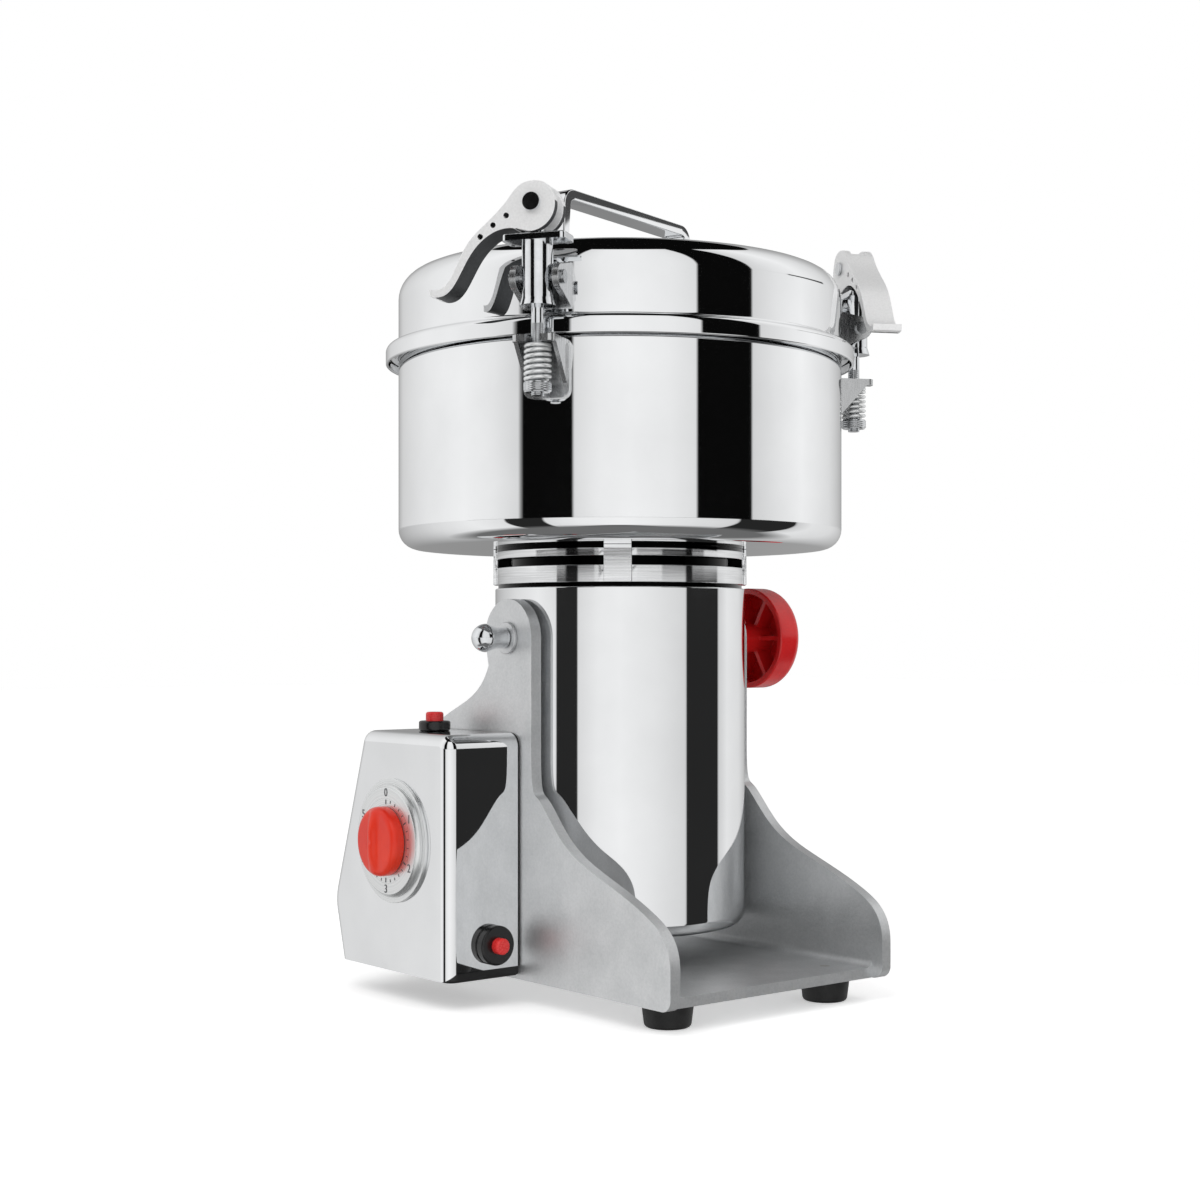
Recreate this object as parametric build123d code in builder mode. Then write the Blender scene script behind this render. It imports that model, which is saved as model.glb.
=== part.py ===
"""Tilting high-speed grain mill: a cast cradle carries the motor on two pivots, a grinding
bowl is bolted on top of the motor, and three cam clamps pull the lid down on the bowl.

Everything is drawn about the chamber axis (X = Y = 0) with the bench at Z = 0. The front,
towards which the mill tips, is -Y, and the control box is on the -X side. On export the
whole mill is shifted sideways so that the origin is the middle of its footprint box.
"""

import os
from math import asin, cos, degrees, radians, sin

from build123d import *

# ---------------------------------------------------------------- clearances (mm)
seat_gap = 0.3  # between pieces that move past each other
fit = 0.05  # radial clearance of a running fit
screw_gap = 0.05  # radial clearance of a screw or a seated pin in its hole
far = 400.0  # longer than any wall is thick, for cuts that go right through

# ---------------------------------------------------------------- cradle
foot_height = 12.0
foot_diameter = 25.0
foot_taper = 1.5
foot_across = 104.0  # between left and right foot centres
foot_front_y = -98.0
foot_back_y = 88.0
foot_screw_diameter = 5.0
foot_screw_head = 9.0
foot_screw_recess = 3.5
floor_thickness = 5.0
floor_inset = 7.0  # how far the floor stops short of the plates' front and back
plate_thickness = 6.0
plate_gap = 1.5  # between the motor and the inner face of each side plate
plate_front_y = -123.5
plate_back_y = 106.0
head_radius = 19.5
casting_fillet = 4.0

# ---------------------------------------------------------------- pivots and lock knob
stud_diameter = 8.0
bush_wall = 1.6
bush_flange = 1.8  # how far the bush collar stands off the plate
bush_collar_diameter = 16.0
cap_nut_neck = 5.5
cap_nut_diameter = 14.0
lock_knob_diameter = 55.0
lock_knob_depth = 16.0
lock_knob_wall = 3.0
lock_hub_diameter = 16.0
lock_stand_off = 16.0  # hub length between the bush collar and the knob rim
lock_rib = 2.4

# ---------------------------------------------------------------- motor
shell_radius = 65.0
sheet = 1.5  # stainless sheet of shell, bowl and lid
shell_height = 173.5
shell_corner = 7.0
motor_gap = 16.0  # between the motor's underside and the cradle's floor
pivot_drop = 25.5  # how far the pivots sit below the motor's rim
shaft_diameter = 12.0
stator_rise = 59.0  # from the motor's underside to the core
stator_clear = 56.5  # from the core's top to the motor's rim
armature_radius = 30.0
air_gap = 0.8
coil_end = 9.0  # how far the coils stand out of the core
bearing_diameter = 32.0
bearing_height = 10.0
commutator_diameter = 36.0
commutator_height = 20.0
fan_gap = 9.5  # between the fan's tips and the motor's wall
fan_height = 12.0
brush_width = 8.0

# ---------------------------------------------------------------- neck casting
neck_inset = 0.5  # the neck is narrower than the motor by this, in radius
neck_gap = 2.0  # the dark line between the motor's rim and the neck
neck_height = 18.5
neck_wall = 8.5
neck_plate = 5.0
post_width = 13.7
post_proud = 1.2
post_turn = 49.5  # direction of the first post about Z
window_rise = 8.5
window_height = 4.5
window_depth = 6.0
tower_radius = 17.0
tower_height = 8.0  # how far the shaft tower stands up into the bowl

# ---------------------------------------------------------------- bowl and lid
bowl_radius = 115.0
bowl_height = 100.0
bowl_corner = 10.0
rim_width = 4.3
gasket_height = 2.2
skirt_gap = 0.7  # between the rim's edge and the inside of the lid's skirt
skirt_drop = 5.5  # how far the skirt hangs below the rim
lid_rise = 42.0  # from the rim to the lid's top
lid_corner = 14.0
lid_crown = 2.0

# ---------------------------------------------------------------- blades
blade_tip_gap = 16.0  # from a blade's tip to the outside of the bowl
blade_width = 19.0
blade_thickness = 3.0
blade_pitch = 12.0  # height from one blade to the next
blade_rise = 14.0  # from the bowl's underside to the lowest blade
hub_diameter = 24.0

# ---------------------------------------------------------------- lid handle
handle_turn = 16.0
handle_half_length = 55.0
handle_rise = 36.0
handle_width = 13.5
handle_foot = 13.0
handle_splay = 2.0
rivet_radius = 2.0
strap = 5.5

# ---------------------------------------------------------------- clamps
clamp_count = 3
clamp_turn = 213.5  # direction of the first clamp about Z
rod_stand_off = 14.0  # from the bowl's wall to the middle of a clamp rod
rod_diameter = 6.0
hinge_rise = 19.0  # from the rim to the clamps' hinges
hinge_pin_diameter = 4.0
barrel_diameter = 14.5
barrel_rise = 6.0  # from the rim to the barrels' lower ends
barrel_flare = 1.2
ear_thickness = 3.0
ear_radius = 6.0
saddle_width = 31.0
saddle_depth = 15.0
saddle_thickness = 3.2
saddle_rise = 38.6  # from the rim to the top of the saddles
cam_pin_rise = 13.6  # from a saddle to its lever's pin
cam_pin_diameter = 5.0
cam_drop = 3.0  # rod travel when the lever is thrown
lever_throw = 115.0  # degrees
lever_width = 15.6
eye_width = 7.6
eye_diameter = 13.0
shelf_thickness = 3.2
shelf_drop = 7.8  # from the rim down to the shelves
shelf_tip = 8.0  # how far a shelf reaches past the middle of its rod
shelf_width = 20.6
lug_width = 22.3
lug_height = 27.0
lug_thickness = 2.5
tension_nut_diameter = 13.0
tension_nut_height = 5.0
spring_length = 17.0
spring_diameter = 13.0

# ---------------------------------------------------------------- control box
box_depth = 43.5
box_front_y = -10.0
box_top_z = 134.0
box_back_top_y = 67.0
box_back_low_y = 98.0
box_back_low_z = 45.0
box_bottom_z = 19.0
box_back_corner = 24.0
box_edge = 7.0
box_sheet = 1.2
tray_height = 5.0
dial_y = 37.0
dial_z = 80.0
dial_diameter = 56.0
dial_base_diameter = 62.0
dial_height = 4.5
dial_base_height = 1.6
knob_diameter = 34.5
knob_skirt = 7.5
knob_round = 3.5
knob_height = 10.0
knob_grip = 8.0
timer_shaft_diameter = 6.0
timer_size = 42.0
timer_depth = 26.0
gland_diameter = 16.0
cord_diameter = 7.0

# ---------------------------------------------------------------- buttons
start_inset = 26.0  # from the dial face in to the middle of the start button
start_y = 39.0
start_bezel_diameter = 16.0
start_button_diameter = 9.0
start_depth = 20.0
reset_inset = 27.0  # from the dial face in to the middle of the overload button
reset_z = 31.0
reset_bezel_diameter = 19.5
reset_button_diameter = 8.0
reset_depth = 26.0
button_proud = 4.5
bezel_height = 5.0

# ---------------------------------------------------------------- worked out from the above
floor_top_z = foot_height + floor_thickness
plate_inside = shell_radius + plate_gap
plate_outside = plate_inside + plate_thickness
shell_bottom_z = floor_top_z + motor_gap
shell_top_z = shell_bottom_z + shell_height
pivot_height = shell_top_z - pivot_drop
shell_inside = shell_radius - sheet
stud_radius = stud_diameter / 2
stud_hole = stud_radius + screw_gap
bush_radius = stud_radius + fit + bush_wall
collar_face_x = plate_outside + bush_flange
cap_nut_x = collar_face_x + seat_gap
cap_nut_end = cap_nut_x + cap_nut_neck + cap_nut_diameter - 1
lock_face_x = collar_face_x + seat_gap
lock_rim_x = lock_face_x + lock_stand_off
lock_end_x = lock_rim_x + lock_knob_depth
shaft_radius = shaft_diameter / 2
bearing_radius = bearing_diameter / 2
base_z = shell_bottom_z + shell_corner + 1
lower_bearing_z = base_z + 3
upper_bearing_z = shell_top_z - bearing_height
stator_bottom_z = shell_bottom_z + stator_rise
stator_top_z = shell_top_z - stator_clear
stator_height = stator_top_z - stator_bottom_z
commutator_z = stator_top_z + coil_end + 6
fan_radius = shell_radius - sheet - fan_gap
fan_z = stator_bottom_z - coil_end - 8 - fan_height
neck_radius = shell_radius - neck_inset
neck_z = shell_top_z + neck_gap
bowl_bottom_z = neck_z + neck_height
tower_top_z = bowl_bottom_z + tower_height
rim_z = bowl_bottom_z + bowl_height
rim_radius = bowl_radius + rim_width
skirt_radius = rim_radius + skirt_gap + sheet
skirt_bottom_z = rim_z - skirt_drop
lid_top_z = rim_z + lid_rise
blade_length = 2 * (bowl_radius - blade_tip_gap)
lowest_blade_z = bowl_bottom_z + blade_rise
rod_radius = rod_diameter / 2
rod_place = bowl_radius + rod_stand_off
hinge_z = rim_z + hinge_rise
barrel_bottom_z = rim_z + barrel_rise
saddle_top_z = rim_z + saddle_rise
cam_pin_z = saddle_top_z + cam_pin_rise
shelf_top_z = rim_z - shelf_drop
shelf_reach = rod_place + shelf_tip
shelf_bottom_z = shelf_top_z - shelf_thickness
nut_top_z = shelf_bottom_z - spring_length - 2 * seat_gap
saddle_bottom_z = saddle_top_z - saddle_thickness
cam_lobe = cam_pin_z - saddle_top_z - seat_gap
ear_inside = barrel_diameter / 2 + barrel_flare + 0.4
lid_inside = bowl_radius - sheet
step_z = rim_z + gasket_height + seat_gap
rivet_place = handle_half_length + handle_splay + strap / 2 + handle_foot / 2
box_outer_x = -plate_outside - box_depth
start_x = box_outer_x + start_inset
reset_x = box_outer_x + reset_inset
clamp_angles = [clamp_turn + 360 / clamp_count * turn for turn in range(clamp_count)]
bottom_up = (Align.CENTER, Align.CENTER, Align.MIN)
corner_up = (Align.MIN, Align.MIN)
pivot_line = Axis((0, 0, pivot_height), (1, 0, 0))

pieces = []


def keep(part, label):
    """Name a finished piece and put it on the list of pieces to write."""
    part.label = label
    pieces.append(part)


def pivot_plane(x):
    """The plane square to the pivot line at x, centred on that line."""
    return Plane((x, 0, pivot_height), x_dir=(0, 1, 0), z_dir=(1, 0, 0))


# ================================================================ cradle
front_sweep = [
    (plate_front_y, foot_height + 18),
    (plate_front_y + 17, foot_height + 42),
    (plate_front_y + 53, foot_height + 57),
    (-2.15 * head_radius, pivot_height - 96),
    (-1.3 * head_radius, pivot_height - 79),
    (-head_radius, pivot_height - 57),
]
back_sweep = [
    (head_radius - 3, pivot_height - 14),
    (1.5 * head_radius, pivot_height - 28.5),
    (2.5 * head_radius, pivot_height - 37.5),
    (3.8 * head_radius, pivot_height - 53),
    (box_back_low_y - 3, pivot_height - 91),
    (plate_back_y - 1.5, foot_height + 40),
    (plate_back_y, foot_height + 18),
]
foot_places = [(side * foot_across / 2, y) for side in (-1, 1) for y in (foot_front_y, foot_back_y)]

with BuildPart() as cradle_frame:
    for side in (-1, 1):
        with BuildSketch(Plane.YZ.offset(side * (plate_inside + plate_thickness / 2))):
            with BuildLine():
                Polyline((plate_back_y, foot_height), (plate_front_y, foot_height), front_sweep[0])
                Spline(front_sweep, tangents=[(0, 1), (0, 1)])
                Line(front_sweep[-1], (-head_radius, pivot_height))
                CenterArc((0, pivot_height), head_radius, 0, 180)
                Line((head_radius, pivot_height), back_sweep[0])
                Spline(back_sweep)
                Line(back_sweep[-1], (plate_back_y, foot_height))
            make_face()
        extrude(amount=plate_thickness / 2, both=True)
    fillet(cradle_frame.edges().filter_by(Axis.X).group_by(Axis.Z)[0], radius=6)
    with BuildSketch(Plane.XY.offset(foot_height)):
        with Locations((0, (plate_front_y + plate_back_y) / 2)):
            Rectangle(2 * plate_inside, plate_back_y - plate_front_y - 2 * floor_inset)
    extrude(amount=floor_thickness)
    inner_corners = cradle_frame.edges().filter_by(Axis.Y).filter_by_position(
        Axis.Z, floor_top_z - 0.1, floor_top_z + 0.1
    )
    fillet(inner_corners, radius=casting_fillet)
    with BuildSketch(pivot_plane(-plate_outside)):
        Circle(bush_radius)
    extrude(amount=2 * plate_outside, mode=Mode.SUBTRACT)
    with Locations(Plane.XY.offset(floor_top_z)):
        with Locations(*foot_places):
            Hole(foot_screw_diameter / 2 + screw_gap, depth=floor_thickness)
keep(cradle_frame.part, "cradle_frame")

with BuildPart() as rubber_feet:
    with Locations(*foot_places):
        Cone(foot_diameter / 2 - foot_taper, foot_diameter / 2, foot_height, align=bottom_up)
    chamfer(rubber_feet.edges().group_by(Axis.Z)[0], length=1)
    with Locations(*foot_places):
        Cylinder(foot_screw_head / 2 + 1, foot_screw_recess + 3, align=bottom_up, mode=Mode.SUBTRACT)
        Cylinder(foot_screw_diameter / 2 + screw_gap, foot_height, align=bottom_up, mode=Mode.SUBTRACT)
keep(rubber_feet.part, "rubber_feet")

with BuildPart() as foot_screws:
    with Locations(*[(x, y, foot_screw_recess) for x, y in foot_places]):
        Cylinder(foot_screw_head / 2, 3, align=bottom_up)
        Cylinder(foot_screw_diameter / 2, floor_top_z - foot_screw_recess, align=bottom_up)
keep(foot_screws.part, "foot_screws")

with BuildPart() as pivot_bushes:
    for side in (-1, 1):
        with BuildSketch(pivot_plane(side * plate_inside)):
            Circle(bush_radius)
        extrude(amount=side * (collar_face_x - plate_inside))
        with BuildSketch(pivot_plane(side * plate_outside)):
            Circle(bush_collar_diameter / 2)
        extrude(amount=side * bush_flange)
    with BuildSketch(pivot_plane(-collar_face_x)):
        Circle(stud_radius + fit)
    extrude(amount=2 * collar_face_x, mode=Mode.SUBTRACT)
keep(pivot_bushes.part, "pivot_bushes")

# ================================================================ control box
box_outline = [
    (box_front_y, box_bottom_z),
    (box_front_y, box_top_z),
    (box_back_top_y, box_top_z),
    (box_back_low_y, box_back_low_z),
    (box_back_low_y - 9, box_bottom_z),
]
start_face = Plane((start_x, start_y, box_top_z), x_dir=(1, 0, 0), z_dir=(0, 0, 1))
reset_face = Plane((reset_x, box_front_y, reset_z), x_dir=(1, 0, 0), z_dir=(0, -1, 0))
dial_face = Plane((box_outer_x, dial_y, dial_z), x_dir=(0, -1, 0), z_dir=(-1, 0, 0))
gland_height = 0.4  # share of the way up the sloping back
slope = Vector(0, box_top_z - box_back_low_z, box_back_low_y - box_back_top_y).normalized()
gland_face = Plane(
    (
        (box_outer_x - plate_outside) / 2,
        box_back_low_y - gland_height * (box_back_low_y - box_back_top_y),
        box_back_low_z + gland_height * (box_top_z - box_back_low_z),
    ),
    x_dir=(1, 0, 0),
    z_dir=slope,
)


def box_side_view(inset):
    """The control box seen from the side, inset from its outside and, if inset, open below."""
    with BuildSketch() as outline:
        with BuildLine():
            Polyline(*box_outline, close=True)
        make_face()
        fillet(outline.vertices().group_by(Axis.Y)[-1], radius=box_edge)
        fillet(outline.vertices().sort_by(Axis.X)[-1], radius=box_back_corner)
        if inset:
            offset(amount=-inset)
            below = outline.edges().sort_by(Axis.Y)[0]
            with Locations(below.center()):
                Rectangle(below.length, 4 * inset)
    return outline.sketch


def box_block(inset):
    """The closed block of the control box, inset from its outside, with rounded outer rims."""
    with BuildPart() as block:
        with BuildSketch(Plane.YZ.offset(-plate_outside)):
            add(box_side_view(inset))
        extrude(amount=box_outer_x + inset + plate_outside)
        outer_rim = block.faces().sort_by(Axis.X)[0].edges()
        upper_rim = outer_rim.filter_by_position(Axis.Z, box_bottom_z + 3 * inset + 1, box_top_z + 1)
        fillet(upper_rim, radius=box_edge - 1 - inset)
    return block.part


with BuildPart() as box_cover:
    add(box_block(0))
    add(box_block(box_sheet), mode=Mode.SUBTRACT)
    with Locations(start_face):
        Hole(start_bezel_diameter / 2 - 1.5, depth=5)
    with Locations(reset_face):
        Hole(reset_bezel_diameter / 2 - 1.5, depth=5)
    with Locations(dial_face):
        Hole(timer_shaft_diameter, depth=5)
    with Locations(gland_face):
        Hole(gland_diameter / 2 - 2, depth=5)
keep(box_cover.part, "box_cover")

with BuildPart() as box_tray:
    with BuildSketch(Plane.XY.offset(box_bottom_z)):
        with Locations((-plate_outside, box_front_y + 1)):
            Rectangle(
                -box_outer_x - plate_outside - 1.5,
                box_back_low_y - box_back_corner / 2 - box_front_y,
                align=(Align.MAX, Align.MIN),
            )
    extrude(amount=-tray_height)
    fillet(box_tray.edges().filter_by(Axis.Z).group_by(Axis.X)[0], radius=box_edge - 1)
    chamfer(box_tray.edges().group_by(Axis.Z)[0], length=1)
keep(box_tray.part, "box_tray")

with BuildPart() as timer_case:
    with BuildSketch(dial_face.offset(-box_sheet)):
        RectangleRounded(timer_size, timer_size, 4)
    extrude(amount=-timer_depth)
    with BuildSketch(dial_face.offset(-box_sheet)):
        Circle(timer_shaft_diameter / 2 + fit)
    extrude(amount=4 - timer_depth, mode=Mode.SUBTRACT)
keep(timer_case.part, "timer_case")

with BuildPart() as dial_plate:
    for radius, height in ((dial_base_diameter / 2, dial_base_height), (dial_diameter / 2, dial_height)):
        with BuildSketch(dial_face):
            Circle(radius)
            Circle(timer_shaft_diameter, mode=Mode.SUBTRACT)
        extrude(amount=height)
    chamfer(dial_plate.faces().sort_by(Axis.X)[0].outer_wire().edges(), length=1.5)
keep(dial_plate.part, "dial_plate")

knob_face = dial_face.offset(dial_height + seat_gap)
with BuildPart() as timer_knob:
    with BuildSketch(knob_face):
        Circle(knob_diameter / 2)
    extrude(amount=knob_skirt)
    fillet(timer_knob.faces().sort_by(Axis.X)[0].edges(), radius=knob_round)
    with BuildSketch(knob_face):
        SlotOverall(knob_diameter - 2, knob_grip, rotation=90)
    extrude(amount=knob_height, taper=4)
    fillet(timer_knob.faces().sort_by(Axis.X)[0].edges(), radius=1.5)
    with BuildSketch(knob_face):
        Circle(timer_shaft_diameter / 2 + screw_gap)
    extrude(amount=knob_height - 3, mode=Mode.SUBTRACT)
keep(timer_knob.part, "timer_knob")

with BuildPart() as timer_shaft:
    with BuildSketch(knob_face.offset(knob_height - 3.2)):
        Circle(timer_shaft_diameter / 2)
    extrude(amount=-(knob_height + dial_height + timer_depth - 8))
keep(timer_shaft.part, "timer_shaft")


def push_button(face, bezel_radius, button_radius, depth, names):
    """A round push button on a panel: its switch body, its cap and the spring under the cap."""
    body_name, cap_name, spring_name = names
    stem_bottom = -2.0
    bore_bottom = 2.0 - depth
    with BuildPart() as body:
        with BuildSketch(face):
            Circle(bezel_radius)
        extrude(amount=bezel_height)
        fillet(body.edges().filter_by(GeomType.CIRCLE), radius=1)
        with BuildSketch(face.offset(1)):
            Circle(bezel_radius - 1.6)
        extrude(amount=-depth - 1)
        with BuildSketch(face.offset(bore_bottom)):
            Circle(button_radius + fit)
        extrude(amount=bezel_height - bore_bottom + 1, mode=Mode.SUBTRACT)
    with BuildPart() as cap:
        with BuildSketch(face.offset(stem_bottom)):
            Circle(button_radius)
        extrude(amount=bezel_height + button_proud - stem_bottom)
        outer_end = cap.faces().sort_by(Axis(face.origin, face.z_dir))[-1]
        fillet(outer_end.edges(), radius=1.2)
    with BuildPart() as spring:
        with BuildSketch(face.offset(bore_bottom + 0.1)):
            Circle(button_radius - 0.5)
            Circle(button_radius - 1.6, mode=Mode.SUBTRACT)
        extrude(amount=stem_bottom - bore_bottom - 0.2)
    keep(body.part, body_name)
    keep(cap.part, cap_name)
    keep(spring.part, spring_name)


push_button(
    start_face,
    start_bezel_diameter / 2,
    start_button_diameter / 2,
    start_depth,
    ("start_switch", "start_button", "start_spring"),
)
push_button(
    reset_face,
    reset_bezel_diameter / 2,
    reset_button_diameter / 2,
    reset_depth,
    ("overload_breaker", "reset_button", "reset_spring"),
)

with BuildPart() as cord_gland:
    with BuildSketch(gland_face):
        Circle(gland_diameter / 2)
    extrude(amount=3)
    fillet(cord_gland.edges().filter_by(GeomType.CIRCLE), radius=1)
    with BuildSketch(gland_face.offset(1.5)):
        Circle(gland_diameter / 2 - 2.1)
    extrude(amount=-9)
    with BuildSketch(gland_face.offset(-box_sheet)):
        Circle(gland_diameter / 2 + 1)
    extrude(amount=-3)
    with BuildSketch(gland_face.offset(-20)):
        Circle(cord_diameter / 2 + 0.1)
    extrude(amount=40, mode=Mode.SUBTRACT)
keep(cord_gland.part, "cord_gland")

# ================================================================ motor housing and pivots
with BuildPart() as pivot_pads:
    for side in (-1, 1):
        with BuildSketch(pivot_plane(side * (plate_inside - seat_gap))):
            Circle(bush_collar_diameter / 2 + 2)
            Circle(stud_hole, mode=Mode.SUBTRACT)
        extrude(amount=-side * 6)
    with Locations((0, 0, shell_bottom_z)):
        Cylinder(shell_radius, far, align=bottom_up, mode=Mode.SUBTRACT)

with BuildPart() as motor_shell:
    with BuildSketch(Plane.XZ):
        with Locations((0, shell_bottom_z)):
            Rectangle(shell_radius, shell_top_z - shell_bottom_z, align=corner_up)
    revolve(axis=Axis.Z)
    fillet(motor_shell.edges().group_by(Axis.Z)[0], radius=shell_corner)
    offset(amount=-sheet, openings=motor_shell.faces().sort_by(Axis.Z)[-1])
    with Locations((0, 0, shell_bottom_z - 1)):
        Cylinder(shell_inside - shell_corner - 4, sheet + 2, align=bottom_up, mode=Mode.SUBTRACT)
    with BuildSketch(pivot_plane(-shell_radius)):
        Circle(stud_hole)
    extrude(amount=2 * shell_radius, mode=Mode.SUBTRACT)
    add(pivot_pads.part)
keep(motor_shell.part, "motor_shell")

with BuildPart() as pivot_studs:
    for side in (-1, 1):
        with BuildSketch(pivot_plane(side * (shell_inside - 7))):
            Circle(stud_radius + 4)
        extrude(amount=side * 8)
    with Locations((0, 0, shell_bottom_z)):
        Cylinder(shell_inside - screw_gap, far, align=bottom_up, mode=Mode.INTERSECT)
    for side, end_x in ((-1, cap_nut_end - 5), (1, lock_end_x - 5)):
        with BuildSketch(pivot_plane(side * (shell_inside - 6))):
            Circle(stud_radius)
        extrude(amount=side * (end_x - shell_inside + 6))
keep(pivot_studs.part, "pivot_studs")

with BuildPart() as pivot_cap_nut:
    nut_neck_radius = stud_radius + 1.2
    ball_radius = cap_nut_diameter / 2
    ball_x = -cap_nut_end + ball_radius
    with BuildSketch(Plane.XZ):
        with BuildLine():
            Polyline(
                (-cap_nut_x, pivot_height),
                (-cap_nut_x, pivot_height + nut_neck_radius),
                (-cap_nut_x - cap_nut_neck, pivot_height + nut_neck_radius),
                (ball_x, pivot_height + ball_radius),
            )
            CenterArc((ball_x, pivot_height), ball_radius, 90, 90)
            Line((ball_x - ball_radius, pivot_height), (-cap_nut_x, pivot_height))
        make_face()
    revolve(axis=pivot_line)
    with BuildSketch(pivot_plane(-cap_nut_end + 4.5)):
        Circle(stud_hole)
    extrude(amount=cap_nut_end, mode=Mode.SUBTRACT)
keep(pivot_cap_nut.part, "pivot_cap_nut")

with BuildPart() as lock_knob:
    with BuildSketch(pivot_plane(lock_rim_x)):
        Circle(lock_knob_diameter / 2)
    extrude(amount=lock_knob_depth)
    fillet(lock_knob.faces().sort_by(Axis.X)[-1].edges(), radius=5)
    fillet(lock_knob.faces().sort_by(Axis.X)[0].edges(), radius=1)
    with BuildSketch(pivot_plane(lock_end_x - lock_knob_wall)):
        Circle(lock_knob_diameter / 2 - lock_knob_wall)
    extrude(amount=-lock_knob_depth, mode=Mode.SUBTRACT)
    with BuildSketch(pivot_plane(lock_end_x - lock_knob_wall)):
        with PolarLocations(lock_knob_diameter / 4, 6):
            Rectangle(lock_knob_diameter / 2 - lock_knob_wall, lock_rib)
    extrude(amount=lock_knob_wall + 3 - lock_knob_depth)
    with BuildSketch(pivot_plane(lock_face_x)):
        Circle(lock_hub_diameter / 2)
    extrude(amount=lock_end_x - lock_face_x - 1)
    with BuildSketch(pivot_plane(lock_face_x)):
        Circle(stud_radius + fit)
    extrude(amount=lock_end_x - lock_face_x - 4, mode=Mode.SUBTRACT)
keep(lock_knob.part, "lock_knob")

with BuildPart() as motor_base:
    with Locations((0, 0, base_z)):
        Cylinder(shell_inside - screw_gap, 4, align=bottom_up)
        Cylinder(bearing_radius + 4, bearing_height + 3, align=bottom_up)
    with Locations((0, 0, lower_bearing_z)):
        Cylinder(bearing_radius, bearing_height, align=bottom_up, mode=Mode.SUBTRACT)
    with BuildSketch(Plane.XY.offset(base_z)):
        with PolarLocations(bearing_radius + 18, 10):
            SlotOverall(22, 7)
    extrude(amount=4, mode=Mode.SUBTRACT)
keep(motor_base.part, "motor_base")

# ================================================================ neck casting and bearings
post_places = [post_turn + 90 * turn for turn in range(4)]
bowl_screw_place = neck_radius - neck_wall / 2

with BuildPart() as neck_casting:
    with Locations((0, 0, neck_z)):
        Cylinder(neck_radius, neck_height, align=bottom_up)
    with Locations((0, 0, neck_z + neck_plate)):
        Cylinder(neck_radius - neck_wall, far, align=bottom_up, mode=Mode.SUBTRACT)
    with Locations((0, 0, neck_z - 5)):
        Cylinder(shell_inside - screw_gap, 5, align=bottom_up)
    with Locations((0, 0, neck_z - 5)):
        Cylinder(shell_inside - 4, 5, align=bottom_up, mode=Mode.SUBTRACT)
    with BuildSketch(Plane.XY.offset(neck_z + window_rise)):
        Circle(neck_radius + 1)
        Circle(neck_radius - window_depth, mode=Mode.SUBTRACT)
        for turn in post_places:
            with Locations(Rotation(0, 0, turn)):
                with Locations((neck_radius, 0)):
                    Rectangle(3 * neck_wall, post_width, mode=Mode.SUBTRACT)
    extrude(amount=window_height, mode=Mode.SUBTRACT)
    with BuildSketch(Plane.XY.offset(neck_z)):
        for turn in post_places:
            with Locations(Rotation(0, 0, turn)):
                with Locations((neck_radius + post_proud - 2, 0)):
                    Rectangle(4, post_width)
    extrude(amount=neck_height)
    with Locations((0, 0, upper_bearing_z - 1)):
        Cylinder(bearing_radius + 4, neck_z - upper_bearing_z + 2, align=bottom_up)
    with Locations((0, 0, neck_z)):
        Cylinder(tower_radius, tower_top_z - neck_z, align=bottom_up)
    with Locations((0, 0, upper_bearing_z - 1)):
        Cylinder(bearing_radius, bearing_height + 1, align=bottom_up, mode=Mode.SUBTRACT)
        Cylinder(shaft_radius + 1, far, align=bottom_up, mode=Mode.SUBTRACT)
    with Locations((0, 0, tower_top_z - 6)):
        Cylinder(shaft_radius + 6, 10, align=bottom_up, mode=Mode.SUBTRACT)
    with BuildSketch(Plane.XY.offset(bowl_bottom_z)):
        for turn in post_places:
            with Locations(Rotation(0, 0, turn)):
                with Locations((bowl_screw_place, 0)):
                    Circle(2 + screw_gap)
    extrude(amount=-12, mode=Mode.SUBTRACT)
keep(neck_casting.part, "neck_casting")

with BuildPart() as shaft_seal:
    with Locations((0, 0, tower_top_z - 6)):
        Cylinder(shaft_radius + 6 - screw_gap, 6, align=bottom_up)
        Cylinder(shaft_radius + fit, 6, align=bottom_up, mode=Mode.SUBTRACT)
keep(shaft_seal.part, "shaft_seal")


with BuildPart() as ball_bearings:
    for bottom_z in (lower_bearing_z, upper_bearing_z):
        with Locations((0, 0, bottom_z)):
            Cylinder(bearing_radius - screw_gap, bearing_height, align=bottom_up)
            Cylinder(shaft_radius + fit, bearing_height, align=bottom_up, mode=Mode.SUBTRACT)
        for recess_z in (bottom_z, bottom_z + bearing_height - 1):
            with BuildSketch(Plane.XY.offset(recess_z)):
                Circle(bearing_radius - 3)
                Circle(shaft_radius + 3, mode=Mode.SUBTRACT)
            extrude(amount=1, mode=Mode.SUBTRACT)
keep(ball_bearings.part, "ball_bearings")

# ================================================================ motor windings and brushes
coil_radius = armature_radius + 17
coil_width = 9.0
coil_span = 90.0  # degrees between the two legs of a field coil

with BuildPart() as stator_core:
    with BuildSketch(Plane.XY.offset(stator_bottom_z)):
        Circle(shell_inside - screw_gap)
        Circle(armature_radius + air_gap, mode=Mode.SUBTRACT)
        for turn in (45, 135, 225, 315):
            with Locations(Rotation(0, 0, turn)):
                with Locations((coil_radius, 0)):
                    Rectangle(coil_width + 0.4, coil_width + 6, mode=Mode.SUBTRACT)
                with Locations((armature_radius + 8, 0)):
                    Rectangle(18, 2.5, mode=Mode.SUBTRACT)
    extrude(amount=stator_height)
keep(stator_core.part, "stator_core")

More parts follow.
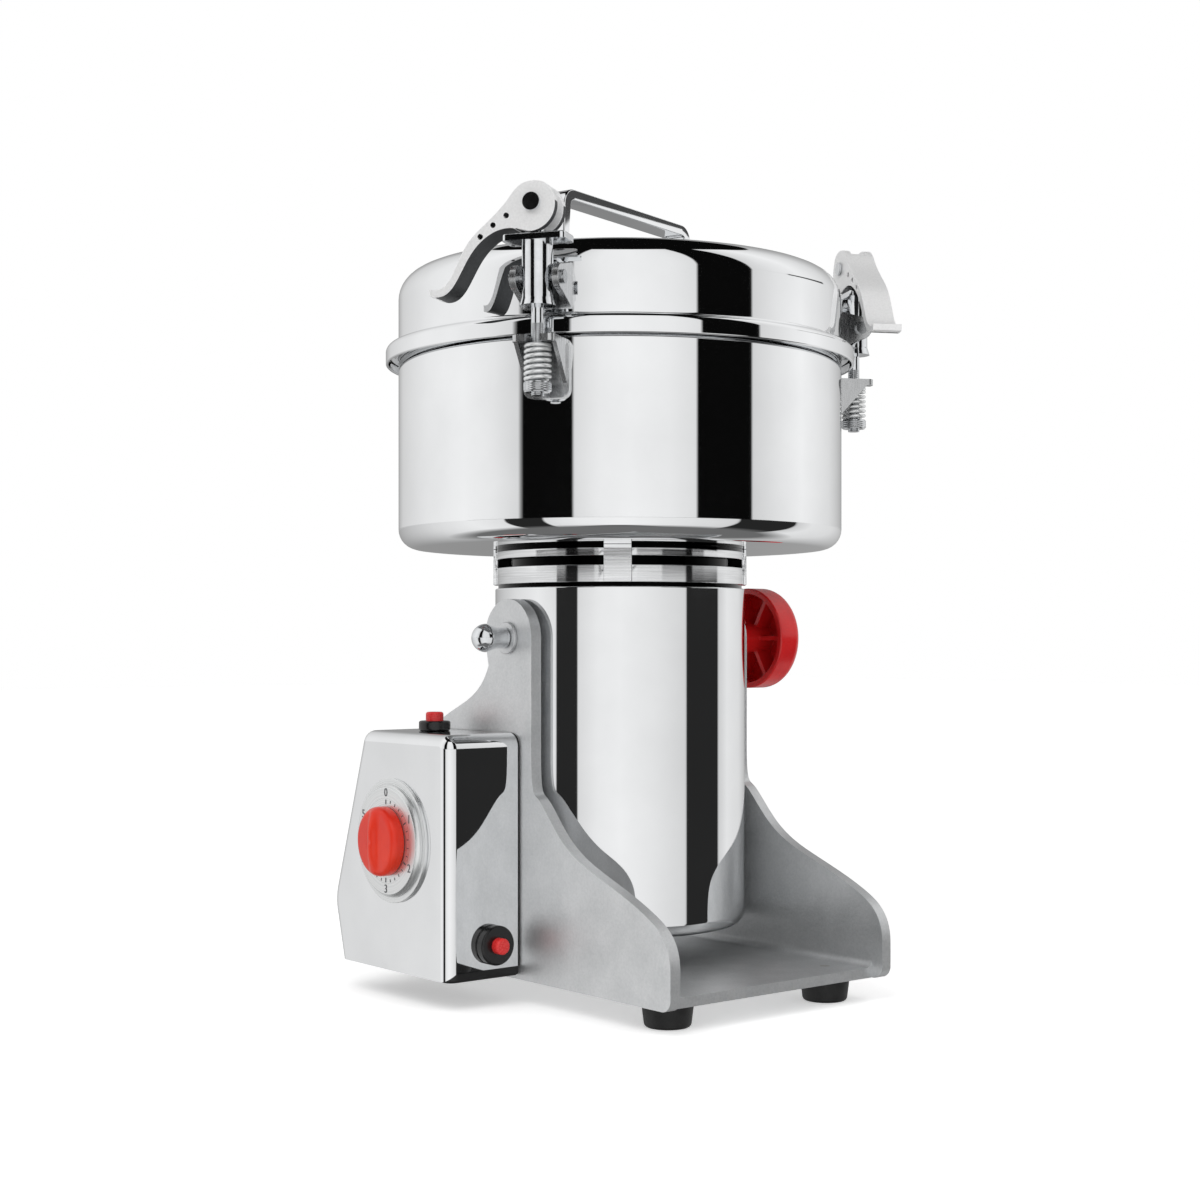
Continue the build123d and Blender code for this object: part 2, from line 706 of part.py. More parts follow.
with BuildPart() as field_coils:
    for middle in (0, 180):
        with BuildSketch(Plane.XY.offset(stator_bottom_z - coil_end)):
            for turn in (middle - coil_span / 2, middle + coil_span / 2):
                with Locations(Rotation(0, 0, turn)):
                    with Locations((coil_radius, 0)):
                        Rectangle(coil_width, coil_width - 3)
        extrude(amount=stator_height + 2 * coil_end)
        for end_z in (stator_bottom_z - coil_end, stator_top_z + 0.3):
            with BuildSketch(Plane.XY.offset(end_z)):
                with BuildLine():
                    first = middle - coil_span / 2
                    outer = CenterArc((0, 0), coil_radius + coil_width / 2, first, coil_span)
                    inner = CenterArc((0, 0), coil_radius - coil_width / 2, first, coil_span)
                    Line(outer @ 0, inner @ 0)
                    Line(outer @ 1, inner @ 1)
                make_face()
            extrude(amount=coil_end - 0.3)
keep(field_coils.part, "field_coils")

brush_top_z = commutator_z + commutator_height / 2 + brush_width / 2
commutator_radius = commutator_diameter / 2
holder_start = commutator_radius + 2
holder_end = shell_inside - 11.5
with BuildPart() as brush_holders:
    for side in (-1, 1):
        with Locations((0, side * (holder_start + holder_end) / 2, brush_top_z - brush_width / 2)):
            Box(brush_width + 5, holder_end - holder_start, brush_width + 5)
            Box(brush_width + 0.2, far, brush_width + 0.2, mode=Mode.SUBTRACT)
        with Locations((0, side * (holder_end - 5), brush_top_z + 2.5)):
            Box(brush_width + 5, 10, neck_z - brush_top_z - 2.5, align=bottom_up)
keep(brush_holders.part, "brush_holders")

with BuildPart() as carbon_brushes:
    for side in (-1, 1):
        with Locations((0, side * (commutator_radius + seat_gap + 11), brush_top_z - brush_width / 2)):
            Box(brush_width, 22, brush_width)
keep(carbon_brushes.part, "carbon_brushes")

# ================================================================ spindle
blade_heights = [lowest_blade_z + blade_pitch * step for step in range(3)]
nut_z = blade_heights[-1] + blade_thickness
with BuildPart() as spindle_shaft:
    with Locations((0, 0, lower_bearing_z)):
        Cylinder(shaft_radius, nut_z + 9 - lower_bearing_z, align=bottom_up)
    chamfer(spindle_shaft.edges().filter_by(GeomType.CIRCLE), length=1)
keep(spindle_shaft.part, "spindle_shaft")

with BuildPart() as armature_core:
    with BuildSketch(Plane.XY.offset(stator_bottom_z)):
        Circle(armature_radius)
        Circle(shaft_radius + screw_gap, mode=Mode.SUBTRACT)
        with PolarLocations(armature_radius - 4, 12):
            Rectangle(9, 3.5, mode=Mode.SUBTRACT)
    extrude(amount=stator_height)
keep(armature_core.part, "armature_core")

with BuildPart() as armature_windings:
    for end_z in (stator_bottom_z - coil_end, stator_top_z):
        with BuildSketch(Plane.XY.offset(end_z)):
            Circle(armature_radius - 3)
            Circle(shaft_radius + 3, mode=Mode.SUBTRACT)
        extrude(amount=coil_end)
    with BuildSketch(Plane.XY.offset(stator_bottom_z)):
        with PolarLocations(armature_radius - 5, 12):
            Rectangle(6, 3.3)
    extrude(amount=stator_height)
keep(armature_windings.part, "armature_windings")

with BuildPart() as commutator:
    with BuildSketch(Plane.XY.offset(commutator_z)):
        Circle(commutator_radius)
        Circle(shaft_radius + screw_gap, mode=Mode.SUBTRACT)
        with PolarLocations(commutator_radius, 16):
            Rectangle(2, 0.8, mode=Mode.SUBTRACT)
    extrude(amount=commutator_height)
keep(commutator.part, "commutator")

with BuildPart() as cooling_fan:
    with Locations((0, 0, fan_z)):
        Cylinder(fan_radius, 1.5, align=bottom_up)
        Cylinder(shaft_radius + 6, fan_height, align=bottom_up)
    with BuildSketch(Plane.XY.offset(fan_z)):
        with PolarLocations(fan_radius * 0.64, 9):
            Rectangle(fan_radius * 0.68, 1.6, rotation=25)
    extrude(amount=fan_height)
    with Locations((0, 0, fan_z)):
        Cylinder(fan_radius, fan_height, align=bottom_up, mode=Mode.INTERSECT)
        Cylinder(shaft_radius + screw_gap, fan_height, align=bottom_up, mode=Mode.SUBTRACT)
keep(cooling_fan.part, "cooling_fan")


def blade(bottom_z, turn, tip_lift, label):
    """An S-shaped cutter bar whose bevelled tips are bent up or down by tip_lift degrees."""
    half = blade_length / 2
    bend = half * 0.55
    with BuildPart() as bar:
        with BuildSketch(Plane.XY.offset(bottom_z)):
            with BuildLine():
                sweep_back = blade_width * 0.55
                Polyline((0, blade_width / 2), (bend, blade_width / 2), (bend, -blade_width / 2))
                Polyline((bend, -blade_width / 2), (-bend, -blade_width / 2), (-bend, blade_width / 2))
                Line((-bend, blade_width / 2), (0, blade_width / 2))
            make_face()
        extrude(amount=blade_thickness)
        with Locations((0, 0, bottom_z)):
            Cylinder(hub_diameter / 2, blade_thickness, align=bottom_up)
        for side in (1, -1):
            hinge = Plane(
                (side * bend, 0, bottom_z + blade_thickness / 2),
                x_dir=(side * cos(radians(tip_lift)), 0, sin(radians(tip_lift))),
                z_dir=(-side * sin(radians(tip_lift)), 0, cos(radians(tip_lift))),
            )
            reach = (half - bend) / cos(radians(tip_lift))
            with BuildSketch(hinge.offset(-blade_thickness / 2)):
                with BuildLine():
                    Polyline(
                        (-0.5, blade_width / 2),
                        (reach - sweep_back, blade_width / 2),
                        (reach, -blade_width / 4),
                        (reach - 3, -blade_width / 2),
                        (-0.5, -blade_width / 2),
                        close=True,
                    )
                make_face()
            extrude(amount=blade_thickness)
        with Locations((0, 0, bottom_z - 1)):
            Cylinder(shaft_radius + screw_gap, blade_thickness + 2, align=bottom_up, mode=Mode.SUBTRACT)
    keep(bar.part.rotate(Axis.Z, turn), label)


blade(blade_heights[0], 20, -4, "lower_blade")
blade(blade_heights[1], 80, 0, "middle_blade")
blade(blade_heights[2], 140, 14, "upper_blade")

with BuildPart() as blade_spacers:
    with Locations((0, 0, tower_top_z + seat_gap)):
        Cylinder(hub_diameter / 2, lowest_blade_z - tower_top_z - seat_gap, align=bottom_up)
    for lower_z in blade_heights[:-1]:
        with Locations((0, 0, lower_z + blade_thickness)):
            Cylinder(hub_diameter / 2 - 1, blade_pitch - blade_thickness, align=bottom_up)
    with Locations((0, 0, tower_top_z)):
        Cylinder(shaft_radius + screw_gap, nut_z - tower_top_z, align=bottom_up, mode=Mode.SUBTRACT)
keep(blade_spacers.part, "blade_spacers")

with BuildPart() as blade_nut:
    with BuildSketch(Plane.XY.offset(nut_z)):
        RegularPolygon(hub_diameter / 2, 6)
    extrude(amount=12)
    chamfer(blade_nut.edges().group_by(Axis.Z)[-1], length=1.5)
    with Locations((0, 0, nut_z)):
        Cylinder(shaft_radius + screw_gap, 9.5, align=bottom_up, mode=Mode.SUBTRACT)
keep(blade_nut.part, "blade_nut")

# ================================================================ bowl
with BuildPart() as bowl:
    with Locations((0, 0, bowl_bottom_z)):
        Cylinder(bowl_radius, rim_z - bowl_bottom_z, align=bottom_up)
    fillet(bowl.edges().group_by(Axis.Z)[0], radius=bowl_corner)
    offset(amount=-sheet, openings=bowl.faces().sort_by(Axis.Z)[-1])
    with BuildSketch(Plane.XY.offset(rim_z)):
        Circle(rim_radius)
        Circle(bowl_radius - sheet / 2, mode=Mode.SUBTRACT)
    extrude(amount=-sheet)
    with Locations((0, 0, bowl_bottom_z)):
        Cylinder(tower_radius + screw_gap, sheet, align=bottom_up, mode=Mode.SUBTRACT)
    with BuildSketch(Plane.XY.offset(bowl_bottom_z)):
        for turn in post_places:
            with Locations(Rotation(0, 0, turn)):
                with Locations((bowl_screw_place, 0)):
                    Circle(2 + screw_gap)
    extrude(amount=sheet, mode=Mode.SUBTRACT)
keep(bowl.part, "bowl")

with BuildPart() as bowl_screws:
    for turn in post_places:
        with Locations(Rotation(0, 0, turn)):
            with Locations((bowl_screw_place, 0, bowl_bottom_z + sheet)):
                Cylinder(3.8, 2.2, align=bottom_up)
            with Locations((bowl_screw_place, 0, bowl_bottom_z - 10)):
                Cylinder(2, 10 + sheet, align=bottom_up)
keep(bowl_screws.part, "bowl_screws")

# ================================================================ clamp lugs on the bowl
slot_radius = rod_radius + 0.6
gusset_reach = shelf_reach - bowl_radius - lug_thickness - 4
with BuildPart() as one_lug:
    with Locations((bowl_radius, 0, shelf_top_z - lug_height / 2)):
        Box(2 * lug_thickness, lug_width, lug_height)
    fillet(one_lug.edges().filter_by(Axis.X), radius=4)
    with Locations(((bowl_radius + shelf_reach) / 2, 0, shelf_bottom_z)):
        Box(shelf_reach - bowl_radius, shelf_width, shelf_thickness, align=bottom_up)
    outer_corners = one_lug.edges().filter_by(Axis.Z).group_by(Axis.X)[-1]
    fillet(outer_corners, radius=3)
    for side in (-1, 1):
        with BuildSketch(Plane.XZ.offset(side * (shelf_width / 2 - 1))):
            with BuildLine():
                Polyline(
                    (bowl_radius + lug_thickness, shelf_bottom_z),
                    (bowl_radius + lug_thickness + gusset_reach, shelf_bottom_z),
                    (bowl_radius + lug_thickness, shelf_bottom_z - 1.1 * gusset_reach),
                    close=True,
                )
            make_face()
        extrude(amount=1, both=True)
    with Locations((rod_place, 0, shelf_bottom_z - 1)):
        Cylinder(slot_radius, shelf_thickness + 2, align=bottom_up, mode=Mode.SUBTRACT)
        Box(
            shelf_reach,
            2 * slot_radius,
            shelf_thickness + 2,
            align=(Align.MIN, Align.CENTER, Align.MIN),
            mode=Mode.SUBTRACT,
        )
    with Locations((0, 0, bowl_bottom_z)):
        Cylinder(bowl_radius, far, align=bottom_up, mode=Mode.SUBTRACT)

with BuildPart() as bowl_lugs:
    for angle in clamp_angles:
        add(one_lug.part.rotate(Axis.Z, angle))
keep(bowl_lugs.part, "bowl_lugs")


# ================================================================ lid
def lid_side_view(inset):
    """Half the lid's dome seen from the side, inset from its outside: a flat top and a round shoulder."""
    radius = bowl_radius - inset
    corner = lid_corner - inset
    top = lid_top_z - inset
    flat = radius - corner
    crown_radius = (flat**2 + lid_crown**2) / (2 * lid_crown)
    crown_angle = degrees(asin(flat / crown_radius))
    with BuildSketch() as view:
        with BuildLine():
            CenterArc((0, top + lid_crown - crown_radius), crown_radius, 90 - crown_angle, crown_angle)
            CenterArc((radius - corner, top - corner), corner, 0, 90)
            Polyline((radius, top - corner), (radius, step_z), (0, step_z), (0, top + lid_crown))
        make_face()
    return view.sketch


with BuildPart() as lid_block:
    with BuildSketch(Plane.XZ):
        add(lid_side_view(0))
    revolve(axis=Axis.Z)

with BuildPart() as lid:
    with BuildSketch(Plane.XZ) as lid_section:
        add(lid_side_view(0))
        with Locations((0, skirt_bottom_z)):
            Rectangle(skirt_radius, step_z + sheet - skirt_bottom_z, align=corner_up)
        skirt_corner = lid_section.vertices().group_by(Axis.X)[-1].sort_by(Axis.Y)[-1]
        fillet(skirt_corner, radius=2.5)
        add(lid_side_view(sheet), mode=Mode.SUBTRACT)
        with Locations((0, skirt_bottom_z)):
            Rectangle(
                skirt_radius - sheet, step_z - skirt_bottom_z, align=corner_up, mode=Mode.SUBTRACT
            )
    revolve(axis=Axis.Z)
    with BuildSketch(Plane.XY.offset(lid_top_z - 5)):
        with PolarLocations(rivet_place, 2, start_angle=handle_turn):
            Circle(rivet_radius + screw_gap)
    extrude(amount=10, mode=Mode.SUBTRACT)
keep(lid.part, "lid")

with BuildPart() as lid_gasket:
    with BuildSketch(Plane.XY.offset(rim_z + seat_gap)):
        Circle(rim_radius + 0.2)
        Circle(lid_inside + 0.3, mode=Mode.SUBTRACT)
    extrude(amount=gasket_height)
keep(lid_gasket.part, "lid_gasket")

handle_top_z = lid_top_z + handle_rise
handle_base_z = lid_top_z - 1


def handle_arch(inset, bend):
    """The arch of the handle seen from its side, inset from its outside."""
    top = handle_half_length + strap / 2 - inset
    with BuildSketch() as arch:
        with BuildLine():
            Polyline(
                (-top - handle_splay, handle_base_z),
                (-top, handle_top_z - inset),
                (top, handle_top_z - inset),
                (top + handle_splay, handle_base_z),
                close=True,
            )
        make_face()
        fillet(arch.vertices().group_by(Axis.Y)[-1], radius=bend)
    return arch.sketch


with BuildPart() as straight_handle:
    with BuildSketch(Plane.XZ):
        add(handle_arch(0, 3 + strap))
        add(handle_arch(strap, 3), mode=Mode.SUBTRACT)
        for side in (-1, 1):
            with Locations((side * rivet_place, lid_top_z + 1)):
                Rectangle(handle_foot + 2 * strap, 4)
    extrude(amount=handle_width / 2, both=True)
    add(lid_block.part, mode=Mode.SUBTRACT)
    with Locations((-rivet_place, 0, lid_top_z), (rivet_place, 0, lid_top_z)):
        Cylinder(rivet_radius + screw_gap, 12, mode=Mode.SUBTRACT)
keep(straight_handle.part.rotate(Axis.Z, handle_turn), "lid_handle")

with BuildPart() as straight_rivets:
    with Locations((-rivet_place, 0, lid_top_z + 3), (rivet_place, 0, lid_top_z + 3)):
        Cylinder(2 * rivet_radius, 2, align=bottom_up)
    fillet(straight_rivets.edges().group_by(Axis.Z)[-1], radius=1.4)
    with Locations((-rivet_place, 0, lid_top_z - 2), (rivet_place, 0, lid_top_z - 2)):
        Cylinder(rivet_radius, 5, align=bottom_up)
        Cylinder(2 * rivet_radius, 1.4, align=bottom_up)
keep(straight_rivets.part.rotate(Axis.Z, handle_turn), "handle_rivets")

# ================================================================ lid brackets and clamps
# Each clamp is drawn with its rod on +X, the lever's tail on -Y, and then turned to its place.
barrel_radius = barrel_diameter / 2
pin_radius = hinge_pin_diameter / 2
cam_pin_radius = cam_pin_diameter / 2
hinge_plane = Plane((rod_place, 0, hinge_z), x_dir=(1, 0, 0), z_dir=(0, -1, 0))
lever_plane = Plane((rod_place, 0, cam_pin_z), x_dir=(0, 1, 0), z_dir=(1, 0, 0))

with BuildPart() as one_bracket:
    bracket_half = ear_inside + ear_thickness
    with Locations((bowl_radius, 0, (step_z + sheet + 3 + lid_top_z - lid_corner) / 2)):
        Box(2 * sheet, 2 * bracket_half, lid_top_z - lid_corner - step_z - sheet - 3)
    for side in (-1, 1):
        with BuildSketch(Plane.XZ.offset(-side * (ear_inside + ear_thickness / 2))):
            with BuildLine():
                Polyline(
                    (bowl_radius, step_z + sheet + 3),
                    (rod_place, hinge_z - ear_radius),
                )
                CenterArc((rod_place, hinge_z), ear_radius, -90, 180)
                Polyline((rod_place, hinge_z + ear_radius), (bowl_radius, lid_top_z - lid_corner))
                Line((bowl_radius, lid_top_z - lid_corner), (bowl_radius, step_z + sheet + 3))
            make_face()
        extrude(amount=ear_thickness / 2, both=True)
    with BuildSketch(hinge_plane):
        Circle(pin_radius + screw_gap)
    extrude(amount=2 * bracket_half, both=True, mode=Mode.SUBTRACT)
    with Locations((0, 0, bowl_bottom_z)):
        Cylinder(bowl_radius, far, align=bottom_up, mode=Mode.SUBTRACT)

with BuildPart() as clamp_brackets:
    for angle in clamp_angles:
        add(one_bracket.part.rotate(Axis.Z, angle))
keep(clamp_brackets.part, "clamp_brackets")

pin_depth = 2.6  # how deep a hinge pin enters the side of the barrel
with BuildPart() as pin_pair:
    for side in (-1, 1):
        with BuildSketch(hinge_plane.offset(side * (barrel_radius - pin_depth + 0.2))):
            Circle(pin_radius)
        extrude(amount=side * (ear_inside + ear_thickness - barrel_radius + pin_depth))
        with BuildSketch(hinge_plane.offset(side * (ear_inside + ear_thickness + 0.1))):
            Circle(pin_radius + 1.2)
        extrude(amount=side * 1.4)

with BuildPart() as hinge_pins:
    for angle in clamp_angles:
        add(pin_pair.part.rotate(Axis.Z, angle))
keep(hinge_pins.part, "hinge_pins")

with BuildPart() as barrel:
    with Locations((rod_place, 0, barrel_bottom_z)):
        Cylinder(barrel_radius, saddle_bottom_z - barrel_bottom_z, align=bottom_up)
        Cone(barrel_radius + barrel_flare, barrel_radius, 4, align=bottom_up)
    with BuildSketch(Plane.XY.offset(saddle_bottom_z)):
        with Locations((rod_place, 0)):
            RectangleRounded(saddle_depth, saddle_width, 2.5)
    extrude(amount=saddle_thickness)
    fillet(barrel.edges().group_by(Axis.Z)[-1], radius=0.8)
    with Locations((rod_place, 0, barrel_bottom_z)):
        Cylinder(rod_radius + fit, far, align=bottom_up, mode=Mode.SUBTRACT)
    for side in (-1, 1):
        with BuildSketch(hinge_plane.offset(side * (barrel_radius - pin_depth))):
            Circle(pin_radius + fit)
        extrude(amount=side * 5, mode=Mode.SUBTRACT)

with BuildPart() as nut:
    with Locations((rod_place, 0, nut_top_z - tension_nut_height)):
        Cylinder(tension_nut_diameter / 2, tension_nut_height, align=bottom_up)
        chamfer(nut.edges().filter_by(GeomType.CIRCLE), length=0.7)
        Cylinder(rod_radius + screw_gap, tension_nut_height, align=bottom_up, mode=Mode.SUBTRACT)

with BuildPart() as rod:
    with Locations((rod_place, 0, nut_top_z - tension_nut_height - 1.5)):
        Cylinder(rod_radius, cam_pin_z - nut_top_z + tension_nut_height, align=bottom_up)
    with BuildSketch(lever_plane):
        Circle(eye_diameter / 2)
    extrude(amount=eye_width / 2, both=True)
    with BuildSketch(lever_plane):
        Circle(cam_pin_radius)
    extrude(amount=lever_width / 2 + 1.2, both=True)
    with BuildSketch(lever_plane.offset(lever_width / 2 + seat_gap)):
        Circle(cam_pin_radius + 1.6)
    extrude(amount=1.6)
    with BuildSketch(lever_plane.offset(-lever_width / 2 - seat_gap)):
        Circle(cam_pin_radius + 1.0)
    extrude(amount=-1.2)
    add(nut.part)

with BuildPart() as spring:
    with Locations((rod_place, 0, nut_top_z + seat_gap)):
        Cylinder(spring_diameter / 2, spring_length, align=bottom_up)
        Cylinder(rod_radius + 1.2, spring_length, align=bottom_up, mode=Mode.SUBTRACT)

# The cam is a spiral: its reach falls evenly by cam_drop while the lever turns by lever_throw.
cam_steps = 6
cam_curve = []
for step in range(cam_steps + 1):
    share = step / cam_steps
    reach = cam_lobe - cam_drop * share
    bearing_angle = radians(-90 + lever_throw * share)
    cam_curve.append((reach * cos(bearing_angle), reach * sin(bearing_angle)))
cheek_radius = cam_lobe - cam_drop - 0.6
lever_under = [(-8, -11.7), (-18, -12.6), (-28, -20), (-35.5, -32), (-42, -40), (-50, -40.5)]
lever_over = [(-50.5, -37.2), (-43, -36.3), (-38.4, -30), (-31, -16.5), (-22, -8), (-11.5, 2.5)]
lever_holes = [(-12.5, -5.5), (-19, -9.5), (-25.2, -14.5)]

with BuildPart() as lever:
    with BuildSketch(lever_plane):
        with BuildLine():
            Spline(cam_curve)
            end_point = cam_curve[-1]
            top_point = (0, cheek_radius)
            Spline(end_point, top_point, tangents=[(-0.35, 1), (-1, 0)])
            Spline(top_point, lever_over[-1], tangents=[(-1, 0), (-0.8, -1)])
            Spline(lever_over)
            Line(lever_over[0], lever_under[-1])
            Spline(lever_under)
            Spline(lever_under[0], cam_curve[0], tangents=[(1, -0.05), (1, 0)])
        make_face()
    extrude(amount=lever_width / 2, both=True)
    with BuildSketch(lever_plane):
        with Locations((-eye_diameter / 2 - 1.2, 0)):
            Rectangle(60, 60, align=(Align.MIN, Align.CENTER))
    extrude(amount=eye_width / 2 + seat_gap, both=True, mode=Mode.SUBTRACT)
    with BuildSketch(lever_plane):
        Circle(cam_pin_radius + fit)
    extrude(amount=lever_width, both=True, mode=Mode.SUBTRACT)
    with BuildSketch(lever_plane):
        with Locations(*lever_holes):
            Circle(1.3)
    extrude(amount=lever_width, both=True, mode=Mode.SUBTRACT)

for number, angle in enumerate(clamp_angles, start=1):
    keep(barrel.part.rotate(Axis.Z, angle), f"clamp_barrel_{number}")
    keep(rod.part.rotate(Axis.Z, angle), f"clamp_rod_{number}")
    keep(spring.part.rotate(Axis.Z, angle), f"clamp_spring_{number}")
    keep(lever.part.rotate(Axis.Z, angle), f"clamp_lever_{number}")


def export_all():
    """Shift every piece so that the origin is under the middle of the mill, and write it."""
    os.makedirs("parts", exist_ok=True)
    footprint = Compound(children=[part.moved(Location()) for part in pieces]).bounding_box()
    shift = Location((-footprint.center().X, -footprint.center().Y, 0))
    for part in pieces:
        export_step(part.moved(shift), f"parts/{part.label}.step")


export_all()
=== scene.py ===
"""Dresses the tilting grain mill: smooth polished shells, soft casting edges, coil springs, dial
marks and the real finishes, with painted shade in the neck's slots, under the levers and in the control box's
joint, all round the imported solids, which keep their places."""

import math

import bmesh
import bpy
import numpy as np
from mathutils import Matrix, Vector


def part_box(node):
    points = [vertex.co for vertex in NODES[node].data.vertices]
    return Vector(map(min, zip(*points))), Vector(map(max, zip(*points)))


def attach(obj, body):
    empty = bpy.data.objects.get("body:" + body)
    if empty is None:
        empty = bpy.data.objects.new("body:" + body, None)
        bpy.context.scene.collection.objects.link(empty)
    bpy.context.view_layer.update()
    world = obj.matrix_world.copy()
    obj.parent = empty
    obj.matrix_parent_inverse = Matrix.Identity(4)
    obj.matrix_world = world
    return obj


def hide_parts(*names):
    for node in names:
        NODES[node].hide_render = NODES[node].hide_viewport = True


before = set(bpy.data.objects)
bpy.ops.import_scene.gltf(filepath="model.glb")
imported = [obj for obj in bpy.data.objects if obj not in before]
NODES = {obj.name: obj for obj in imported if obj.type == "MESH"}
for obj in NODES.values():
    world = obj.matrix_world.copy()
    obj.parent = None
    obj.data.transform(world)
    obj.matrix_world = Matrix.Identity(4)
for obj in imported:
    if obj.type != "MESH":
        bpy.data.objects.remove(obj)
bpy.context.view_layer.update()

bl_info = {
    "name": "Tilting grain mill",
    "version": (1, 0, 0),
    "blender": (4, 5, 0),
    "location": "View3D > Sidebar > Grain mill",
    "description": "Builds the polished shells, castings, clamps and dial of a tilting grain mill",
    "category": "Object",
}

MM = 0.001


def middle(name):
    """The middle of a solid's box, in millimetres."""
    low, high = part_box(name)
    return np.array([(a + b) / 2 / MM for a, b in zip(low, high)])


def foot_and_top(name):
    """The lowest and the highest point of a solid, in millimetres."""
    low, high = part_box(name)
    return low.z / MM, high.z / MM


def half_height(name):
    """Half the height of a solid, in millimetres."""
    low, high = foot_and_top(name)
    return (high - low) / 2


def half_width(name):
    """Half the width of a round upright solid, in millimetres."""
    low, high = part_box(name)
    return (high.x - low.x) / MM / 2


CHAMBER = middle("spindle_shaft")[:2]  # the upright line through shaft, motor and bowl
DIAL = middle("dial_plate")
DIAL_FACE_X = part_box("dial_plate")[0].x / MM
BOWL_FOOT, BOWL_TOP = foot_and_top("bowl")
LID_FOOT, LID_TOP = foot_and_top("lid")
MOTOR_FOOT, MOTOR_TOP = foot_and_top("motor_shell")
PIVOT_HEIGHT = middle("pivot_cap_nut")[2]
PAD_PROUD = 1.2  # the pivots' pads stand this far out of the motor shell
MOTOR_RADIUS = half_width("motor_shell") - PAD_PROUD
LID_CROWN = 2.0
THREAD_TOP = 325  # the clamps' rods are threaded up to this height
TOP_SHADE_LINE = 1.8  # the painted shade line at the neck's top starts this far below the bowl
NECK_FULL_SHADE, NECK_NO_SHADE = 1.4, 0.8  # how far inside the motor's radius the neck's painted shade is full black, and where it has faded out
TIMER_SPAN, NUMBER_STEP, TICK_STEP = 300, 60, 12  # the dial's scale, in degrees
INK, INK_GAP = 0.12, 0.02  # a tick's thickness, and how far in front of the dial's face it starts
NUMERAL_HALF = 0.07  # half the thickness of a number
FONT_SIZE = 1.35  # the font's size for numbers of height 1
DRAWN_SHARP = 40  # degrees between the faces of a drawn piece from which their edge stays sharp
PACKED_SHARP = 35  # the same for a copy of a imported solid


# ---------------------------------------------------------------- shapes
def rounded_path(corners, radii, steps=7):
    """Points of an open path whose inner corners are swapped for arcs.

    At a corner B the arc's centre lies on the line that halves the angle, radius / sin(half
    angle) away, and the arc's points are the two end spokes blended by sine weights.
    """
    corners = np.asarray(corners, float)
    parts = [corners[:1]]
    for before, corner, after, radius in zip(corners, corners[1:], corners[2:], radii):
        u = (before - corner) / np.linalg.norm(before - corner)
        v = (after - corner) / np.linalg.norm(after - corner)
        half = math.acos(np.clip(u @ v, -1, 1)) / 2
        centre = corner + (u + v) / np.linalg.norm(u + v) * radius / math.sin(half)
        first = corner + u * radius / math.tan(half) - centre
        last = corner + v * radius / math.tan(half) - centre
        sweep = math.pi - 2 * half
        share = np.linspace(0, 1, steps)[:, None]
        parts.append(
            centre + (np.sin((1 - share) * sweep) * first + np.sin(share * sweep) * last) / math.sin(sweep)
        )
    parts.append(corners[-1:])
    return np.concatenate(parts)


def turned(profile, steps=192, centre=CHAMBER):
    """A profile (radius, height) turned about an upright line: each point goes round a circle."""
    turn = np.linspace(0, 2 * math.pi, steps, endpoint=False)
    radius, height = profile[:, 0, None], profile[:, 1, None]
    return np.stack(
        [centre[0] + radius * np.cos(turn), centre[1] + radius * np.sin(turn), height + 0 * turn], axis=-1
    )


def stood_on(grid, origin, out):
    """Points drawn about +Z moved to a place and tipped so that their +Z points along out.

    The new X, Y and Z directions are the columns of a rotation built with two cross products.
    """
    z = np.asarray(out, float)
    x = np.cross([0, 0, 1], z) if abs(z[2]) < 0.9 else np.array([1.0, 0, 0])
    x /= np.linalg.norm(x)
    y = np.cross(z, x)
    return np.asarray(origin) + grid @ np.stack([x, y, z])


def tube(centres, across, up, outline):
    """An outline carried along a line: centre + across times its width + up times its height."""
    return centres[:, None] + across[:, None] * outline[None, :, :1] + up[:, None] * outline[None, :, 1:]


def capped(body):
    """A tube's points with both ends drawn together into their middles."""
    first, last = (end.mean(1, keepdims=True).repeat(body.shape[1], 1) for end in (body[:1], body[-1:]))
    return np.concatenate([first, body, last])


def grid_faces(rows, columns, wrap_rows, wrap_columns):
    """Quads between neighbours of a grid of points, numbered row by row."""
    r, c = np.meshgrid(
        np.arange(rows if wrap_rows else rows - 1),
        np.arange(columns if wrap_columns else columns - 1),
        indexing="ij",
    )
    next_r, next_c = (r + 1) % rows, (c + 1) % columns
    quads = [r * columns + c, next_r * columns + c, next_r * columns + next_c, r * columns + next_c]
    return np.stack(quads, axis=-1).reshape(-1, 4)


def surface(grid, wrap_rows=False, wrap_columns=False):
    """Points and quads of a grid of points."""
    rows, columns = grid.shape[:2]
    return grid.reshape(-1, 3), grid_faces(rows, columns, wrap_rows, wrap_columns)


def joined(*surfaces):
    """Several point and face lists as one, with the later face numbers moved up."""
    starts = np.cumsum([0] + [len(points) for points, _ in surfaces[:-1]])
    points = np.concatenate([points for points, _ in surfaces])
    return points, np.concatenate([faces + start for (_, faces), start in zip(surfaces, starts)])


def finish_mesh(mesh):
    """Merges doubled points, turns the faces outwards and shades them smooth."""
    work = bmesh.new()
    work.from_mesh(mesh)
    bmesh.ops.remove_doubles(work, verts=work.verts, dist=2e-6)
    bmesh.ops.recalc_face_normals(work, faces=work.faces)
    if work.calc_volume(signed=True) < 0:
        bmesh.ops.reverse_faces(work, faces=work.faces)
    work.to_mesh(mesh)
    work.free()
    mesh.shade_smooth()
    mesh.set_sharp_from_angle(angle=math.radians(DRAWN_SHARP))


def place_piece(name, mesh, material, body, stands_for):
    """Puts a mesh into the scene as a named piece that rides on a body."""
    mesh.materials.clear()
    mesh.materials.append(material)
    piece = bpy.data.objects.new(name, mesh)
    bpy.context.scene.collection.objects.link(piece)
    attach(piece, body)
    for node_name in stands_for:
        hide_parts(node_name)
    return piece


